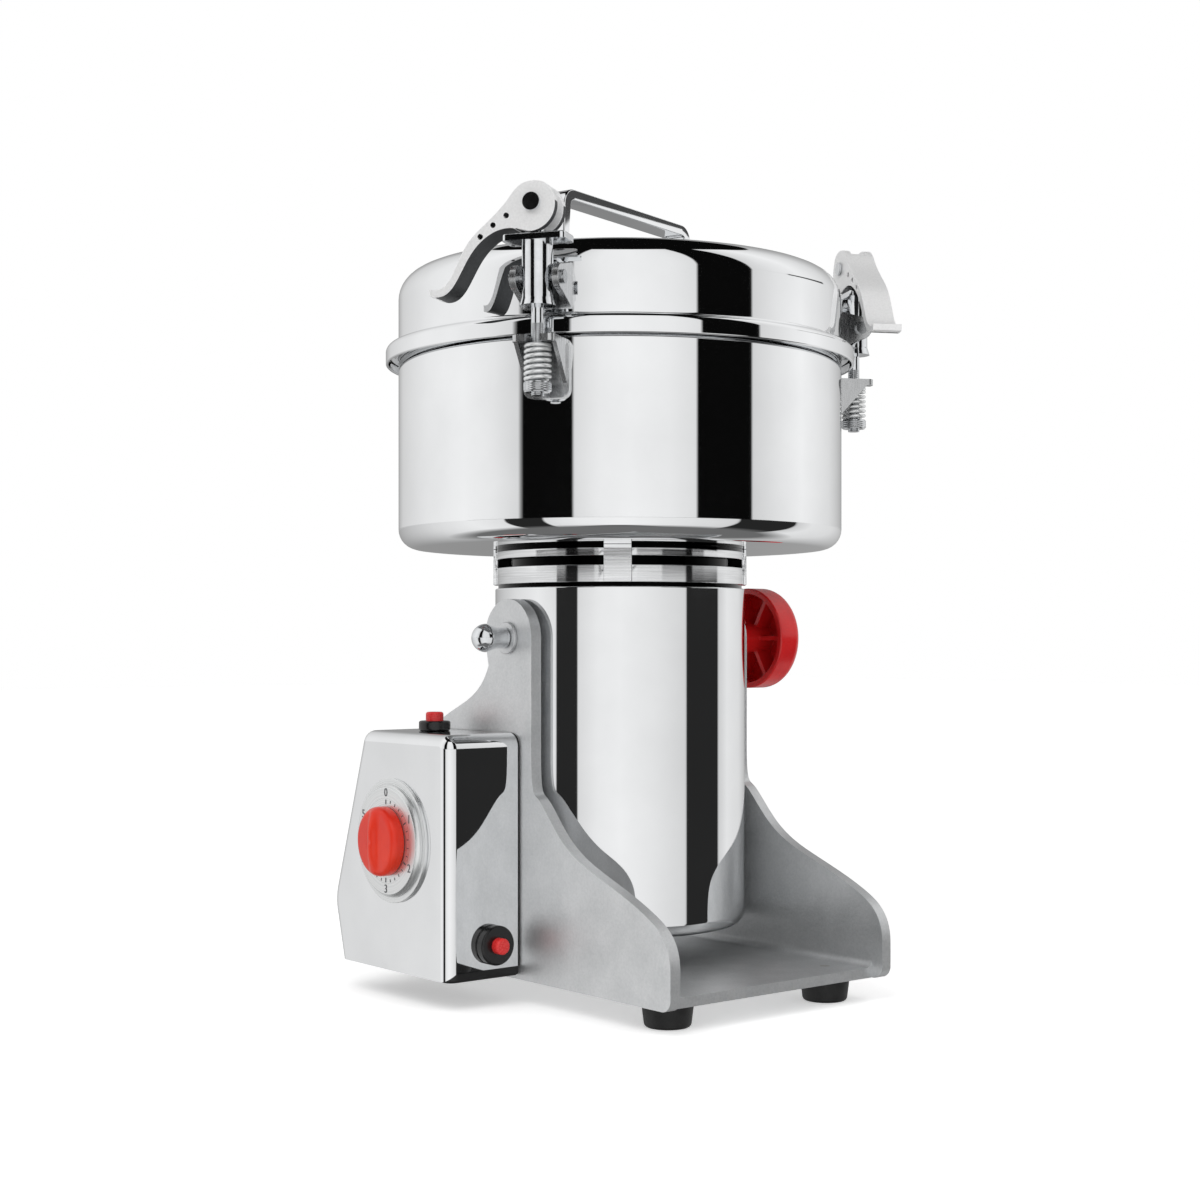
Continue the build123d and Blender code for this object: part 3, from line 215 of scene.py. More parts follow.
def shade_evenly(piece):
    """Weighs a piece's normals by area, so that flat faces look flat beside round edges."""
    piece.modifiers.new("even_shading", "WEIGHTED_NORMAL").keep_sharp = True


def add_piece(name, shape, material, body, stands_for=(), even=True):
    """Makes one named piece from points in millimetres and faces."""
    points, faces = shape
    mesh = bpy.data.meshes.new(name)
    mesh.from_pydata((points * MM).tolist(), [], faces.tolist())
    finish_mesh(mesh)
    piece = place_piece(name, mesh, material, body, stands_for)
    if even:
        shade_evenly(piece)
    return piece


def soften(name, node_name, radius, material, body, segments=2):
    """A copy of a solid's mesh with its sharp edges rounded, standing for that solid."""
    mesh = NODES[node_name].data.copy()
    mesh.name = name
    work = bmesh.new()
    work.from_mesh(mesh)
    bmesh.ops.remove_doubles(work, verts=work.verts, dist=2e-6)
    bmesh.ops.dissolve_limit(work, angle_limit=math.radians(0.4), verts=work.verts, edges=work.edges)
    work.to_mesh(mesh)
    work.free()
    mesh.shade_smooth()
    mesh.set_sharp_from_angle(angle=math.radians(PACKED_SHARP))
    piece = place_piece(name, mesh, material, body, [node_name])
    bevel = piece.modifiers.new("soft_edges", "BEVEL")
    bevel.width = radius * MM
    bevel.segments = segments
    bevel.limit_method = "ANGLE"
    bevel.angle_limit = math.radians(PACKED_SHARP)
    shade_evenly(piece)
    return piece


def dress(material, *node_names):
    """Gives carried-over solids their real finish."""
    for node_name in node_names:
        mesh = NODES[node_name].data
        mesh.materials.clear()
        mesh.materials.append(material)


# ---------------------------------------------------------------- materials
def linear(colour):
    """A hex colour such as "C8C9CA" as linear red, green, blue and alpha."""
    srgb = np.array([int(colour[i : i + 2], 16) / 255 for i in (0, 2, 4)])
    return (*np.where(srgb <= 0.04045, srgb / 12.92, ((srgb + 0.055) / 1.055) ** 2.4), 1.0)


def add(tree, kind, sockets=None, **settings):
    """Adds a node, sets its fields, and fills or links its sockets."""
    made = tree.nodes.new(kind)
    for field, value in settings.items():
        setattr(made, field, value)
    for key, value in (sockets or {}).items():
        if isinstance(value, bpy.types.NodeSocket):
            tree.links.new(value, made.inputs[key])
        else:
            made.inputs[key].default_value = value
    return made


def begin(name, **values):
    """A new material with one Principled shader whose constant values are set on its sockets."""
    material = bpy.data.materials.new(name)
    material.use_nodes = True
    tree = material.node_tree
    tree.nodes.clear()
    shader = add(tree, "ShaderNodeBsdfPrincipled", values)
    add(tree, "ShaderNodeOutputMaterial", {"Surface": shader.outputs[0]})
    return material, tree, shader


def noise(tree, size_mm, detail=3.0, stretch=(1, 1, 1)):
    """A cloudy pattern whose lumps are about size_mm across."""
    here = add(tree, "ShaderNodeTexCoord").outputs["Object"]
    point = add(tree, "ShaderNodeMapping", {"Vector": here, "Scale": stretch}).outputs[0]
    sockets = {"Vector": point, "Scale": 1 / (size_mm * MM), "Detail": detail}
    return add(tree, "ShaderNodeTexNoise", sockets).outputs["Fac"]


def height_up(tree):
    """How high the shaded point is, in metres."""
    here = add(tree, "ShaderNodeTexCoord").outputs["Object"]
    return add(tree, "ShaderNodeSeparateXYZ", {0: here}).outputs[2]


def waves(tree, pitch_mm):
    """A sine wave that climbs the piece, one turn for each pitch."""
    scale = 2 * math.pi / (pitch_mm * MM)
    turns = add(tree, "ShaderNodeMath", {0: height_up(tree), 1: scale}, operation="MULTIPLY").outputs[0]
    return add(tree, "ShaderNodeMath", {0: turns}, operation="SINE").outputs[0]


def reach_from(tree, centre_mm, plane):
    """How far the shaded point is from a centre, in metres, along the axes where plane is 1."""
    here = add(tree, "ShaderNodeTexCoord").outputs["Object"]
    centre = tuple(np.multiply(centre_mm, MM))
    offset = add(tree, "ShaderNodeVectorMath", {0: here, 1: centre}, operation="SUBTRACT").outputs[0]
    flat = add(tree, "ShaderNodeVectorMath", {0: offset, 1: plane}, operation="MULTIPLY").outputs[0]
    return add(tree, "ShaderNodeVectorMath", {0: flat}, operation="LENGTH").outputs["Value"]


def tint(tree, pattern, dark, light):
    """A colour that runs from dark to light as the pattern goes from 0.3 to 0.7."""
    ramp = add(tree, "ShaderNodeValToRGB", {"Fac": pattern})
    for element, place, colour in zip(ramp.color_ramp.elements, (0.3, 0.7), (dark, light)):
        element.position = place
        element.color = linear(colour)
    return ramp.outputs[0]


def paint(tree, shader, pattern, dark, light):
    """Colours the shader from dark to light by a pattern."""
    tree.links.new(tint(tree, pattern, dark, light), shader.inputs["Base Color"])


def roughen(tree, shader, pattern, low, high):
    """Roughness from low to high where the pattern goes from 0 to 1."""
    amount = add(tree, "ShaderNodeMapRange", {"Value": pattern, "To Min": low, "To Max": high})
    tree.links.new(amount.outputs[0], shader.inputs["Roughness"])


def raise_bumps(tree, shader, pattern, depth_mm):
    """Bumps depth_mm high where the pattern goes from 0 to 1."""
    bump = add(tree, "ShaderNodeBump", {"Height": pattern, "Strength": 1.0, "Distance": depth_mm * MM})
    tree.links.new(bump.outputs[0], shader.inputs["Normal"])


def polished_stainless():
    """304 stainless sheet, spun or folded and buffed: a near mirror with a faint haze of smears."""
    material, tree, shader = begin("polished_304_stainless", Metallic=1.0)
    smears = noise(tree, 45, detail=4)
    paint(tree, shader, smears, "E9EAEB", "F1F2F3")
    # Buffing lines are finer than the eye sees, so they are drawn 1.2 mm apart and very shallow.
    lines = noise(tree, 1.2, detail=2, stretch=(1, 1, 0.06))
    haze = add(tree, "ShaderNodeMath", {0: smears, 1: lines}, operation="MULTIPLY").outputs[0]
    roughen(tree, shader, haze, 0.015, 0.07)
    raise_bumps(tree, shader, noise(tree, 70, detail=1), 0.02)
    return material


def satin_stainless():
    """Pressed stainless, satin ground: grey with short grinding lines."""
    material, tree, shader = begin("satin_304_stainless", Metallic=1.0)
    lines = noise(tree, 0.8, detail=3, stretch=(1, 1, 0.12))
    paint(tree, shader, lines, "C2C3C4", "D4D5D6")
    roughen(tree, shader, lines, 0.2, 0.32)
    raise_bumps(tree, shader, lines, 0.006)
    return material


def chrome_plate():
    """Chrome on turned steel: a deep mirror, slightly blue, with pinhead haze."""
    material, tree, shader = begin("chrome_plated_steel", Metallic=1.0)
    haze = noise(tree, 6, detail=4)
    paint(tree, shader, haze, "DADCDE", "E8EAEC")
    roughen(tree, shader, haze, 0.05, 0.14)
    raise_bumps(tree, shader, haze, 0.01)
    return material


def cast_aluminium(name, dark, light, grain_mm, depth_mm, roughness):
    """Sand-cast aluminium, tumbled: dull grey, mottled, with a grain of small pits."""
    material, tree, shader = begin(name, Metallic=0.85)
    clouds = noise(tree, 14, detail=5)
    grain = noise(tree, grain_mm, detail=5)
    both = add(tree, "ShaderNodeMath", {0: clouds, 1: grain}, operation="ADD").outputs[0]
    mottle = add(tree, "ShaderNodeMath", {0: both, 1: 0.5}, operation="MULTIPLY").outputs[0]
    paint(tree, shader, mottle, dark, light)
    roughen(tree, shader, grain, roughness - 0.08, roughness + 0.1)
    raise_bumps(tree, shader, grain, depth_mm)
    return material


def machined_aluminium():
    """Die-cast aluminium, faced and buffed on a lathe: bright rings, with painted black shade down in its
    slots and groove.
    """
    material, tree, shader = begin("machined_aluminium", Metallic=1.0)
    rings = noise(tree, 0.9, detail=2, stretch=(0.03, 0.03, 1))
    radius = reach_from(tree, (*CHAMBER, 0), (1, 1, 0))
    # Painted shade: slots and the groove lie deeper than the faced rings, where no light gets out again, so
    # they are painted black. The ring's topmost line gets the same painted shade, so there the radius counts
    # as a millimetre less.
    shade_line_foot = (BOWL_FOOT - TOP_SHADE_LINE) * MM
    line = add(tree, "ShaderNodeMath", {0: height_up(tree), 1: shade_line_foot}, operation="GREATER_THAN").outputs[0]
    inward = add(tree, "ShaderNodeMath", {0: line, 1: -MM, 2: radius}, operation="MULTIPLY_ADD").outputs[0]
    black, bright = ((MOTOR_RADIUS - inset) * MM for inset in (NECK_FULL_SHADE, NECK_NO_SHADE))
    sockets = {"Value": inward, "From Min": black, "From Max": bright}
    depth = add(tree, "ShaderNodeMapRange", sockets).outputs[0]
    metal = tint(tree, rings, "D8D9DA", "ECEDEE")
    # black mixed into the metal's colour by depth: the painted shade
    shade = add(tree, "ShaderNodeMix", {0: depth, 6: linear("060606"), 7: metal}, data_type="RGBA")
    tree.links.new(shade.outputs[2], shader.inputs["Base Color"])
    roughen(tree, shader, rings, 0.03, 0.09)
    raise_bumps(tree, shader, rings, 0.001)
    return material


def turned_steel(name, dark, light, roughness, metallic=1.0):
    """Turned, ground or plated metal: grey, with fine tool marks."""
    material, tree, shader = begin(name, Metallic=metallic)
    marks = noise(tree, 1.0, detail=3)
    paint(tree, shader, marks, dark, light)
    roughen(tree, shader, marks, roughness - 0.06, roughness + 0.08)
    raise_bumps(tree, shader, marks, 0.01)
    return material


def moulded_plastic(name, dark, light, roughness, grain_mm=0.9, depth_mm=0.02):
    """Injection-moulded ABS or nylon: an even colour with the mould's faint orange peel."""
    material, tree, shader = begin(name, IOR=1.5)
    flow = noise(tree, 18, detail=3)
    paint(tree, shader, flow, dark, light)
    peel = noise(tree, grain_mm, detail=2)
    roughen(tree, shader, peel, roughness - 0.05, roughness + 0.08)
    raise_bumps(tree, shader, peel, depth_mm)
    return material


def pressed_rubber():
    """Pressed nitrile rubber: near black, dull, with a bloom of dust in its grain."""
    material, tree, shader = begin("pressed_nitrile_rubber", IOR=1.52)
    dust = noise(tree, 5, detail=5)
    paint(tree, shader, dust, "121212", "202020")
    grain = noise(tree, 0.7, detail=3)
    roughen(tree, shader, grain, 0.5, 0.75)
    raise_bumps(tree, shader, grain, 0.05)
    return material


def silicone():
    """Moulded white silicone: soft, milky, a little see-through at thin edges."""
    material, tree, shader = begin("moulded_white_silicone", IOR=1.41)
    milk = noise(tree, 9, detail=2)
    paint(tree, shader, milk, "DDDDD6", "ECECE6")
    roughen(tree, shader, milk, 0.4, 0.55)
    return material


def spun_dial():
    """Aluminium disc, spin-brushed and clear-lacquered: fine rings round the knob's centre."""
    material, tree, shader = begin("spun_dial_aluminium", Metallic=0.9)
    radius = reach_from(tree, DIAL, (0, 1, 1))
    # Brush rings are about 0.2 mm apart; they are drawn 0.8 mm apart so that they show.
    sockets = {"W": radius, "Scale": 1 / (0.8 * MM), "Detail": 4.0}
    rings = add(tree, "ShaderNodeTexNoise", sockets, noise_dimensions="1D").outputs["Fac"]
    paint(tree, shader, rings, "DCDEDE", "EEEFEF")
    roughen(tree, shader, rings, 0.22, 0.38)
    raise_bumps(tree, shader, rings, 0.01)
    return material


def stacked(name, dark, light, pitch_mm, metallic, roughness):
    """Something laid in thin level layers, such as lamination sheets or wire turns."""
    material, tree, shader = begin(name, Metallic=metallic)
    layers = add(tree, "ShaderNodeMapRange", {"Value": waves(tree, pitch_mm), "From Min": -1.0}).outputs[0]
    paint(tree, shader, layers, dark, light)
    roughen(tree, shader, noise(tree, 4), roughness - 0.05, roughness + 0.1)
    raise_bumps(tree, shader, layers, 0.1)
    return material


def threaded_rod():
    """Chrome-plated rod with a rolled M6 thread, 1 mm pitch, on its lower end only."""
    material, tree, shader = begin("chrome_threaded_rod", Metallic=1.0)
    sockets = {0: height_up(tree), 1: THREAD_TOP * MM}
    below = add(tree, "ShaderNodeMath", sockets, operation="LESS_THAN").outputs[0]
    thread = add(tree, "ShaderNodeMath", {0: waves(tree, 1.0), 1: below}, operation="MULTIPLY").outputs[0]
    haze = noise(tree, 6, detail=4)
    paint(tree, shader, haze, "D2D4D6", "E4E6E8")
    roughen(tree, shader, haze, 0.08, 0.18)
    raise_bumps(tree, shader, thread, 0.12)
    return material


FINISH = {}


def make_finishes():
    """All the materials, by the short names the builders use."""
    FINISH.update(
        mirror=polished_stainless(),
        satin=satin_stainless(),
        chrome=chrome_plate(),
        cradle=cast_aluminium("tumbled_cast_aluminium", "CCCECF", "E2E3E4", 1.3, 0.1, 0.44),
        lever=turned_steel("tumbled_zinc_levers", "F4F4F4", "FCFCFC", 0.4, metallic=0.4),
        # a darker copy of the levers' casting: painted shade for their undersides
        lever_below=cast_aluminium("cast_zinc_painted_shade", "3C3D3E", "545658", 1.0, 0.06, 0.5),
        inner_casting=cast_aluminium("inner_cast_aluminium", "8E9092", "B0B2B4", 1.3, 0.1, 0.5),
        neck=machined_aluminium(),
        steel=turned_steel("turned_steel", "A8AAAC", "C4C6C8", 0.26),
        zinc=turned_steel("zinc_plated_screws", "B0B0AC", "CACAC4", 0.32),
        blade=turned_steel("ground_blade_steel", "B8BABC", "D4D6D8", 0.2),
        spring=turned_steel("zinc_plated_wire", "E6E8E8", "F4F5F5", 0.2, metallic=0.6),
        black=moulded_plastic("black_nylon", "0E0E0F", "1A1A1B", 0.42),
        bezel=moulded_plastic("glossy_black_abs", "0C0C0D", "161617", 0.22),
        orange=moulded_plastic("orange_red_abs", "DC2408", "EA3412", 0.3, depth_mm=0.005),
        deep_red=moulded_plastic("deep_red_abs", "CE1418", "E02424", 0.22, depth_mm=0.008),
        button=moulded_plastic("red_button_abs", "DC2A2C", "EC3C3A", 0.26),
        rubber=pressed_rubber(),
        silicone=silicone(),
        dial=spun_dial(),
        print=moulded_plastic("printed_dial_ink", "4A4D50", "5A5D60", 0.5),
        laminations=stacked("stamped_core_sheets", "4E5256", "7A7E82", 1.5, 0.9, 0.4),
        copper=stacked("enamelled_copper_wire", "8A3B16", "C4683A", 1.2, 0.8, 0.3),
        segments=turned_steel("copper_commutator", "B86A3C", "D48A58", 0.3),
        brass=turned_steel("stamped_brass", "B8923E", "D4B060", 0.3),
        carbon=moulded_plastic("pressed_carbon", "1C1C1E", "2A2A2C", 0.6),
        thread=threaded_rod(),
    )


# ---------------------------------------------------------------- settings
def length(label, text, millimetres):
    """A length setting whose default is given in millimetres."""
    return bpy.props.FloatProperty(
        name=label, description=text, default=millimetres * MM, unit="LENGTH", subtype="DISTANCE"
    )


class MillShellSettings(bpy.types.PropertyGroup):
    """Sizes of the polished shells."""

    bowl_radius: length("Bowl radius", "Outside radius of the bowl and of the lid's dome", 115)
    bowl_bottom: length("Bowl bottom", "Height of the underside of the bowl", BOWL_FOOT)
    bowl_corner: length("Bowl corner", "Radius of the bowl's lower corner", 10)
    bowl_hole: length("Bowl hole", "Radius of the hole round the neck's tower", 17.05)
    rim_height: length("Rim height", "Height of the bowl's rim", BOWL_TOP)
    rim_radius: length("Rim radius", "Radius of the bowl's flat rim", half_width("bowl"))
    rim_gap: length("Rim gap", "Height of the lid's step over the bowl's rim", 2.5)
    skirt_radius: length("Skirt radius", "Radius of the lid's skirt", half_width("lid"))
    skirt_bottom: length("Skirt bottom", "Height of the skirt's lower edge", LID_FOOT)
    skirt_corner: length("Skirt corner", "Radius of the step from the lid's side to its skirt", 3.2)
    lid_top: length("Lid top", "Height at which the lid's flat top starts", LID_TOP - LID_CROWN)
    lid_crown: length("Lid crown", "How much the lid's top rises to its middle", LID_CROWN)
    lid_corner: length("Lid shoulder", "Radius of the lid's shoulder", 14)
    motor_radius: length("Motor radius", "Outside radius of the motor shell", MOTOR_RADIUS)
    motor_corner: length("Motor corner", "Radius of the motor shell's lower corner", 7)
    motor_edge: length("Motor edge", "Width of the edge turned in under the motor shell", 11)
    motor_bottom: length("Motor bottom", "Height of the motor shell's underside", MOTOR_FOOT)
    motor_top: length("Motor top", "Height of the motor shell's rim", MOTOR_TOP)
    sheet: length("Sheet", "Thickness of the stainless sheet", 1.5)


class MillControlSettings(bpy.types.PropertyGroup):
    """Sizes of the control box, its dial and knobs."""

    edge: length("Box edge", "Rounding of the control box's outer edges", 6)
    # painted shade: the black strip in the joint between the box and the cradle stands in for the gap's
    # shadow
    seal: length("Seal", "Width of the black seal between the box and the cradle", 1.2)
    lip: length("Lip", "How far the box's dial side hangs over its tray", 4.2)
    sheet: length("Box sheet", "Thickness of the control box's cover", 1.2)
    numerals: length("Numeral height", "Height of the numbers on the dial", 4.4)
    number_ring: length("Number ring", "Distance of the numbers from the dial's middle", 24)
    skirt: length("Knob skirt", "Height of the timer knob's straight side", 4.2)
    dome: length("Knob dome", "Height of the timer knob beside its ridge", 7.2)
    ridge: length("Knob ridge", "Half the width of the timer knob's ridge", 5.4)


class MillClampSettings(bpy.types.PropertyGroup):
    """Sizes of the lid's handle and the clamps."""

    half_length: length("Handle half length", "From the lid's middle to the strap's leg", 55)
    strap: length("Strap", "Thickness of the lid's strap handle", 5.5)
    strap_foot: length("Strap foot", "Thickness of the strap's two feet", 2.6)
    strap_width: length("Strap width", "Width of the lid's strap handle", 13.5)
    wire: length("Spring wire", "Diameter of the clamp springs' wire", 1.8)
    coils: bpy.props.IntProperty(name="Coils", description="Turns of wire in a clamp spring", default=7)
    soft_edge: length("Casting edge", "Rounding of the cast levers' edges", 1.1)
    handle_turn: bpy.props.FloatProperty(
        name="Handle turn", description="Direction of the handle about the lid's middle",
        default=math.radians(16), subtype="ANGLE",
    )


class MillStageSettings(bpy.types.PropertyGroup):
    """Where the camera stands and how the studio is lit."""

    azimuth: bpy.props.FloatProperty(
        name="Azimuth", description="Direction from the mill to the camera", default=math.radians(230.5),
        subtype="ANGLE",
    )
    distance: length("Distance", "Camera to the chamber's upright line", 1000)
    height: length("Height", "Height of the camera", 180)
    lens: bpy.props.FloatProperty(
        name="Lens", description="Focal length of the camera in millimetres", default=57.39, unit="CAMERA",
    )
    floor_colour: bpy.props.FloatVectorProperty(
        name="Floor colour", description="Colour of the floor", default=linear("FAFAFA")[:3], size=3,
        subtype="COLOR", min=0, max=1,
    )
    floor_lift: bpy.props.FloatProperty(
        name="Floor lift", description="Brightness added to the floor for the camera", default=0.42,
    )


# ---------------------------------------------------------------- builders
class MILL_OT_shells(bpy.types.Operator):
    """Build the polished bowl, lid and motor shells"""

    bl_idname = "mill.shells"
    bl_label = "Polished shells"

    def execute(self, context):
        s = context.scene.mill_shells
        sheet = s.sheet / MM
        wall, bottom, rim = s.bowl_radius / MM, s.bowl_bottom / MM, s.rim_height / MM
        corner, hole, lip = s.bowl_corner / MM, s.bowl_hole / MM, sheet * 0.45
        hole_edge, rim_bend = 0.2, 1.2
        # The bowl is one closed loop: its outer wall, the flat rim, and back down its inner wall.
        bowl_loop = rounded_path(
            [
                (hole, bottom + sheet / 2), (hole, bottom), (wall, bottom), (wall, rim - sheet),
                (s.rim_radius / MM, rim - sheet), (s.rim_radius / MM, rim), (wall - sheet, rim),
                (wall - sheet, bottom + sheet), (hole, bottom + sheet), (hole, bottom + sheet / 2),
            ],
            [hole_edge, corner, rim_bend, lip, lip, sheet, corner - sheet, hole_edge],
            steps=9,
        )[:-1]
        add_piece(
            "bowl_shell", surface(turned(bowl_loop, 256), True, True), FINISH["mirror"], "grinder",
            ["bowl"],
        )
        # The lid is an arc of a wide circle from its middle outwards, its shoulder, side and skirt, and
        # the same way back a sheet's thickness further in.
        top, round_off, crown = s.lid_top / MM, s.lid_corner / MM, s.lid_crown / MM
        step, skirt, low = rim + s.rim_gap / MM, s.skirt_radius / MM, s.skirt_bottom / MM
        skirt_corner, outer_bend, inner_bend = s.skirt_corner / MM, 1.6, 0.7
        flat = wall - round_off
        bow = (flat**2 + crown**2) / (2 * crown)
        spokes = np.linspace(0, math.asin(flat / bow), 12)[:-1]
        crown_arc = np.stack([bow * np.sin(spokes), top + crown - bow + bow * np.cos(spokes)], axis=-1)
        side = rounded_path(
            [
                (0, top), (wall, top), (wall, step + sheet), (skirt, step + sheet), (skirt, low),
                (skirt - sheet, low), (skirt - sheet, step), (wall - sheet, step),
                (wall - sheet, top - sheet), (0, top - sheet),
            ],
            [
                round_off, outer_bend, skirt_corner, lip, lip, skirt_corner - sheet, inner_bend,
                round_off - sheet,
            ],
            steps=11,
        )[1:-1]
        lid_loop = np.concatenate([crown_arc, side, (crown_arc - [0, sheet])[::-1]])
        add_piece(
            "lid_shell", surface(turned(lid_loop, 256), False, True), FINISH["mirror"], "lid",
            ["lid"],
        )
        # The motor's shell is a closed loop as well, from the edge that is turned in under it.
        radius, base, rim = s.motor_radius / MM, s.motor_bottom / MM, s.motor_top / MM
        hole, corner, hole_edge = radius - sheet - s.motor_edge / MM, s.motor_corner / MM, 0.3
        motor_loop = rounded_path(
            [
                (hole, base + sheet / 2), (hole, base), (radius, base), (radius, rim), (radius - sheet, rim),
                (radius - sheet, base + sheet), (hole, base + sheet), (hole, base + sheet / 2),
            ],
            [hole_edge, corner, lip, lip, corner - sheet, hole_edge],
            steps=9,
        )[:-1]
        # A flat ring stands out of the shell at each pivot; its wall runs back inside the shell.
        bore, edge, depth = 4.05, 10, 6
        pad = rounded_path([(bore, -depth), (bore, 0), (edge, 0), (edge, -depth)], [0.3, 0.8])
        ring = turned(pad, 48, (0, 0))
        pads = []
        for side in (-1, 1):
            seat = (CHAMBER[0] + side * (radius + PAD_PROUD), CHAMBER[1], PIVOT_HEIGHT)
            pads.append(surface(stood_on(ring, seat, (side, 0, 0)), False, True))
        add_piece(
            "motor_housing", surface(turned(motor_loop, 192), True, True), FINISH["mirror"], "grinder",
            ["motor_shell"],
        )
        add_piece("pivot_pads", joined(*pads), FINISH["steel"], "grinder")
        return {"FINISHED"}


class MILL_OT_cradle(bpy.types.Operator):
    """Dress the cast cradle, its feet and its pivots"""

    bl_idname = "mill.cradle"
    bl_label = "Cradle"

    def execute(self, context):
        soften("cast_cradle", "cradle_frame", 1.2, FINISH["cradle"], "cradle", segments=3)
        soften("foot_pads", "rubber_feet", 0.8, FINISH["rubber"], "cradle")
        dress(FINISH["zinc"], "foot_screws", "bowl_screws")
        soften("pivot_collars", "pivot_bushes", 0.4, FINISH["cradle"], "cradle")
        soften("pivot_cap", "pivot_cap_nut", 0.4, FINISH["chrome"], "grinder")
        dress(FINISH["steel"], "pivot_studs")
        return {"FINISHED"}


class MILL_OT_neck(bpy.types.Operator):
    """Dress the neck casting between motor and bowl"""

    bl_idname = "mill.neck"
    bl_label = "Neck"

    def execute(self, context):
        soften("neck_ring", "neck_casting", 0.4, FINISH["neck"], "grinder")
        return {"FINISHED"}


class MILL_OT_insides(bpy.types.Operator):
    """Dress the motor's innards, the blades and the spindle"""

    bl_idname = "mill.insides"
    bl_label = "Insides"

    def execute(self, context):
        dress(FINISH["inner_casting"], "motor_base")
        dress(FINISH["laminations"], "stator_core", "armature_core")
        dress(FINISH["copper"], "field_coils", "armature_windings")
        dress(FINISH["segments"], "commutator")
        dress(FINISH["brass"], "brush_holders")
        dress(FINISH["carbon"], "carbon_brushes")
        dress(FINISH["black"], "cooling_fan")
        dress(FINISH["rubber"], "shaft_seal")
        dress(FINISH["steel"], "ball_bearings", "spindle_shaft", "blade_spacers")
        dress(FINISH["chrome"], "blade_nut")
        dress(FINISH["blade"], "lower_blade", "middle_blade", "upper_blade")
        return {"FINISHED"}


class MILL_OT_handle(bpy.types.Operator):
    """Build the lid's strap handle and dress its rivets and the gasket"""

    bl_idname = "mill.handle"
    bl_label = "Lid handle"

    def execute(self, context):
        s = context.scene.mill_clamps
        thick, thin, wide = s.strap / MM, s.strap_foot / MM, s.strap_width / MM
        # The strap is a rounded section carried along a bent line in an upright plane.
        half, splay, foot, foot_rise, bend = s.half_length / MM, 2, 13, 0.5, 3
        low, high = foot_and_top("lid_handle")
        base, top, tip = low + foot_rise, high - thick / 2, half + splay + foot + thick / 2
        line = rounded_path(
            [
                (-tip, base), (-half - splay, base), (-half, top), (half, top), (half + splay, base),
                (tip, base),
            ],
            [bend, bend + thick / 2, bend + thick / 2, bend],
            steps=12,
        )
        # The strap thins from its full thickness to the feet over the last bend.
        share = np.clip((line[:, 1] - base) / (3 * bend), 0, 1)[:, None]
        depth = thin + (thick - thin) * share
        ahead = np.gradient(line, axis=0)
        ahead /= np.linalg.norm(ahead, axis=1)[:, None]
        upward = np.stack([-ahead[:, 1], ahead[:, 0]], axis=-1)
        along = np.array([math.cos(s.handle_turn), math.sin(s.handle_turn), 0])
        side = np.array([-along[1], along[0], 0])
        centres = line[:, :1] * along + [*CHAMBER, 0] + line[:, 1:] * [0, 0, 1]
        up = (upward[:, :1] * along + upward[:, 1:] * [0, 0, 1]) * depth
        across = np.repeat(side[None] * wide, len(line), axis=0)
        # The section is a unit square with rounded corners, begun in the middle of a side.
        edge = rounded_path(
            [(0, -0.5), (0.5, -0.5), (0.5, 0.5), (-0.5, 0.5), (-0.5, -0.5), (0, -0.5)], [0.1] * 4, steps=6
        )[:-1]
        strap = capped(tube(centres, across, up, edge))
        add_piece("strap_handle", surface(strap, False, True), FINISH["mirror"], "lid",
                  ["lid_handle"])
        dress(FINISH["chrome"], "handle_rivets")
        dress(FINISH["silicone"], "lid_gasket")
        return {"FINISHED"}


def coil_spring(node_name, wire, coils, steps=40, sides=10):
    """A wire wound as a helix: round a circle evenly while rising, flat over the end half turns."""
    low, high = (np.array(corner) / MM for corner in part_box(node_name))
    centre, radius = (low + high) / 2, (high[0] - low[0]) / 2 - wire / 2
    bottom, top = low[2] + wire / 2, high[2] - wire / 2
    turn = np.linspace(0, 2 * math.pi * coils, steps * coils)
    rise = np.clip((turn - math.pi) / (turn[-1] - 2 * math.pi), 0, 1)
    out = np.stack([np.cos(turn), np.sin(turn), 0 * turn], axis=-1)
    centres = out * radius + [centre[0], centre[1], bottom] + rise[:, None] * [0, 0, top - bottom]
    section = np.linspace(0, 2 * math.pi, sides, endpoint=False)
    outline = np.stack([np.cos(section), np.sin(section)], axis=-1) * wire / 2
    return capped(tube(centres, out, np.repeat([[0, 0, 1.0]], len(turn), axis=0), outline))


def leave_rough_below(lever, material):
    """Gives the faces under a lever's arm a second, darker material: painted shade under the arm.

    The arm points from the middle of the lever's highest points to that of its lowest. A face lies
    under it where the dot product of its normal with the direction down and back is large.
    """
    near, leaning = 2 * MM, 0.62
    mesh = lever.data
    mesh.materials.append(material)
    points = np.array([vertex.co for vertex in mesh.vertices])
    height = points[:, 2]
    arm = points[height < height.min() + near].mean(0) - points[height > height.max() - near].mean(0)
    arm[2] = 0
    under = -(arm / np.linalg.norm(arm) + [0, 0, 1]) / math.sqrt(2)
    for face in mesh.polygons:
        if np.dot(face.normal, under) > leaning:
            face.material_index = 1


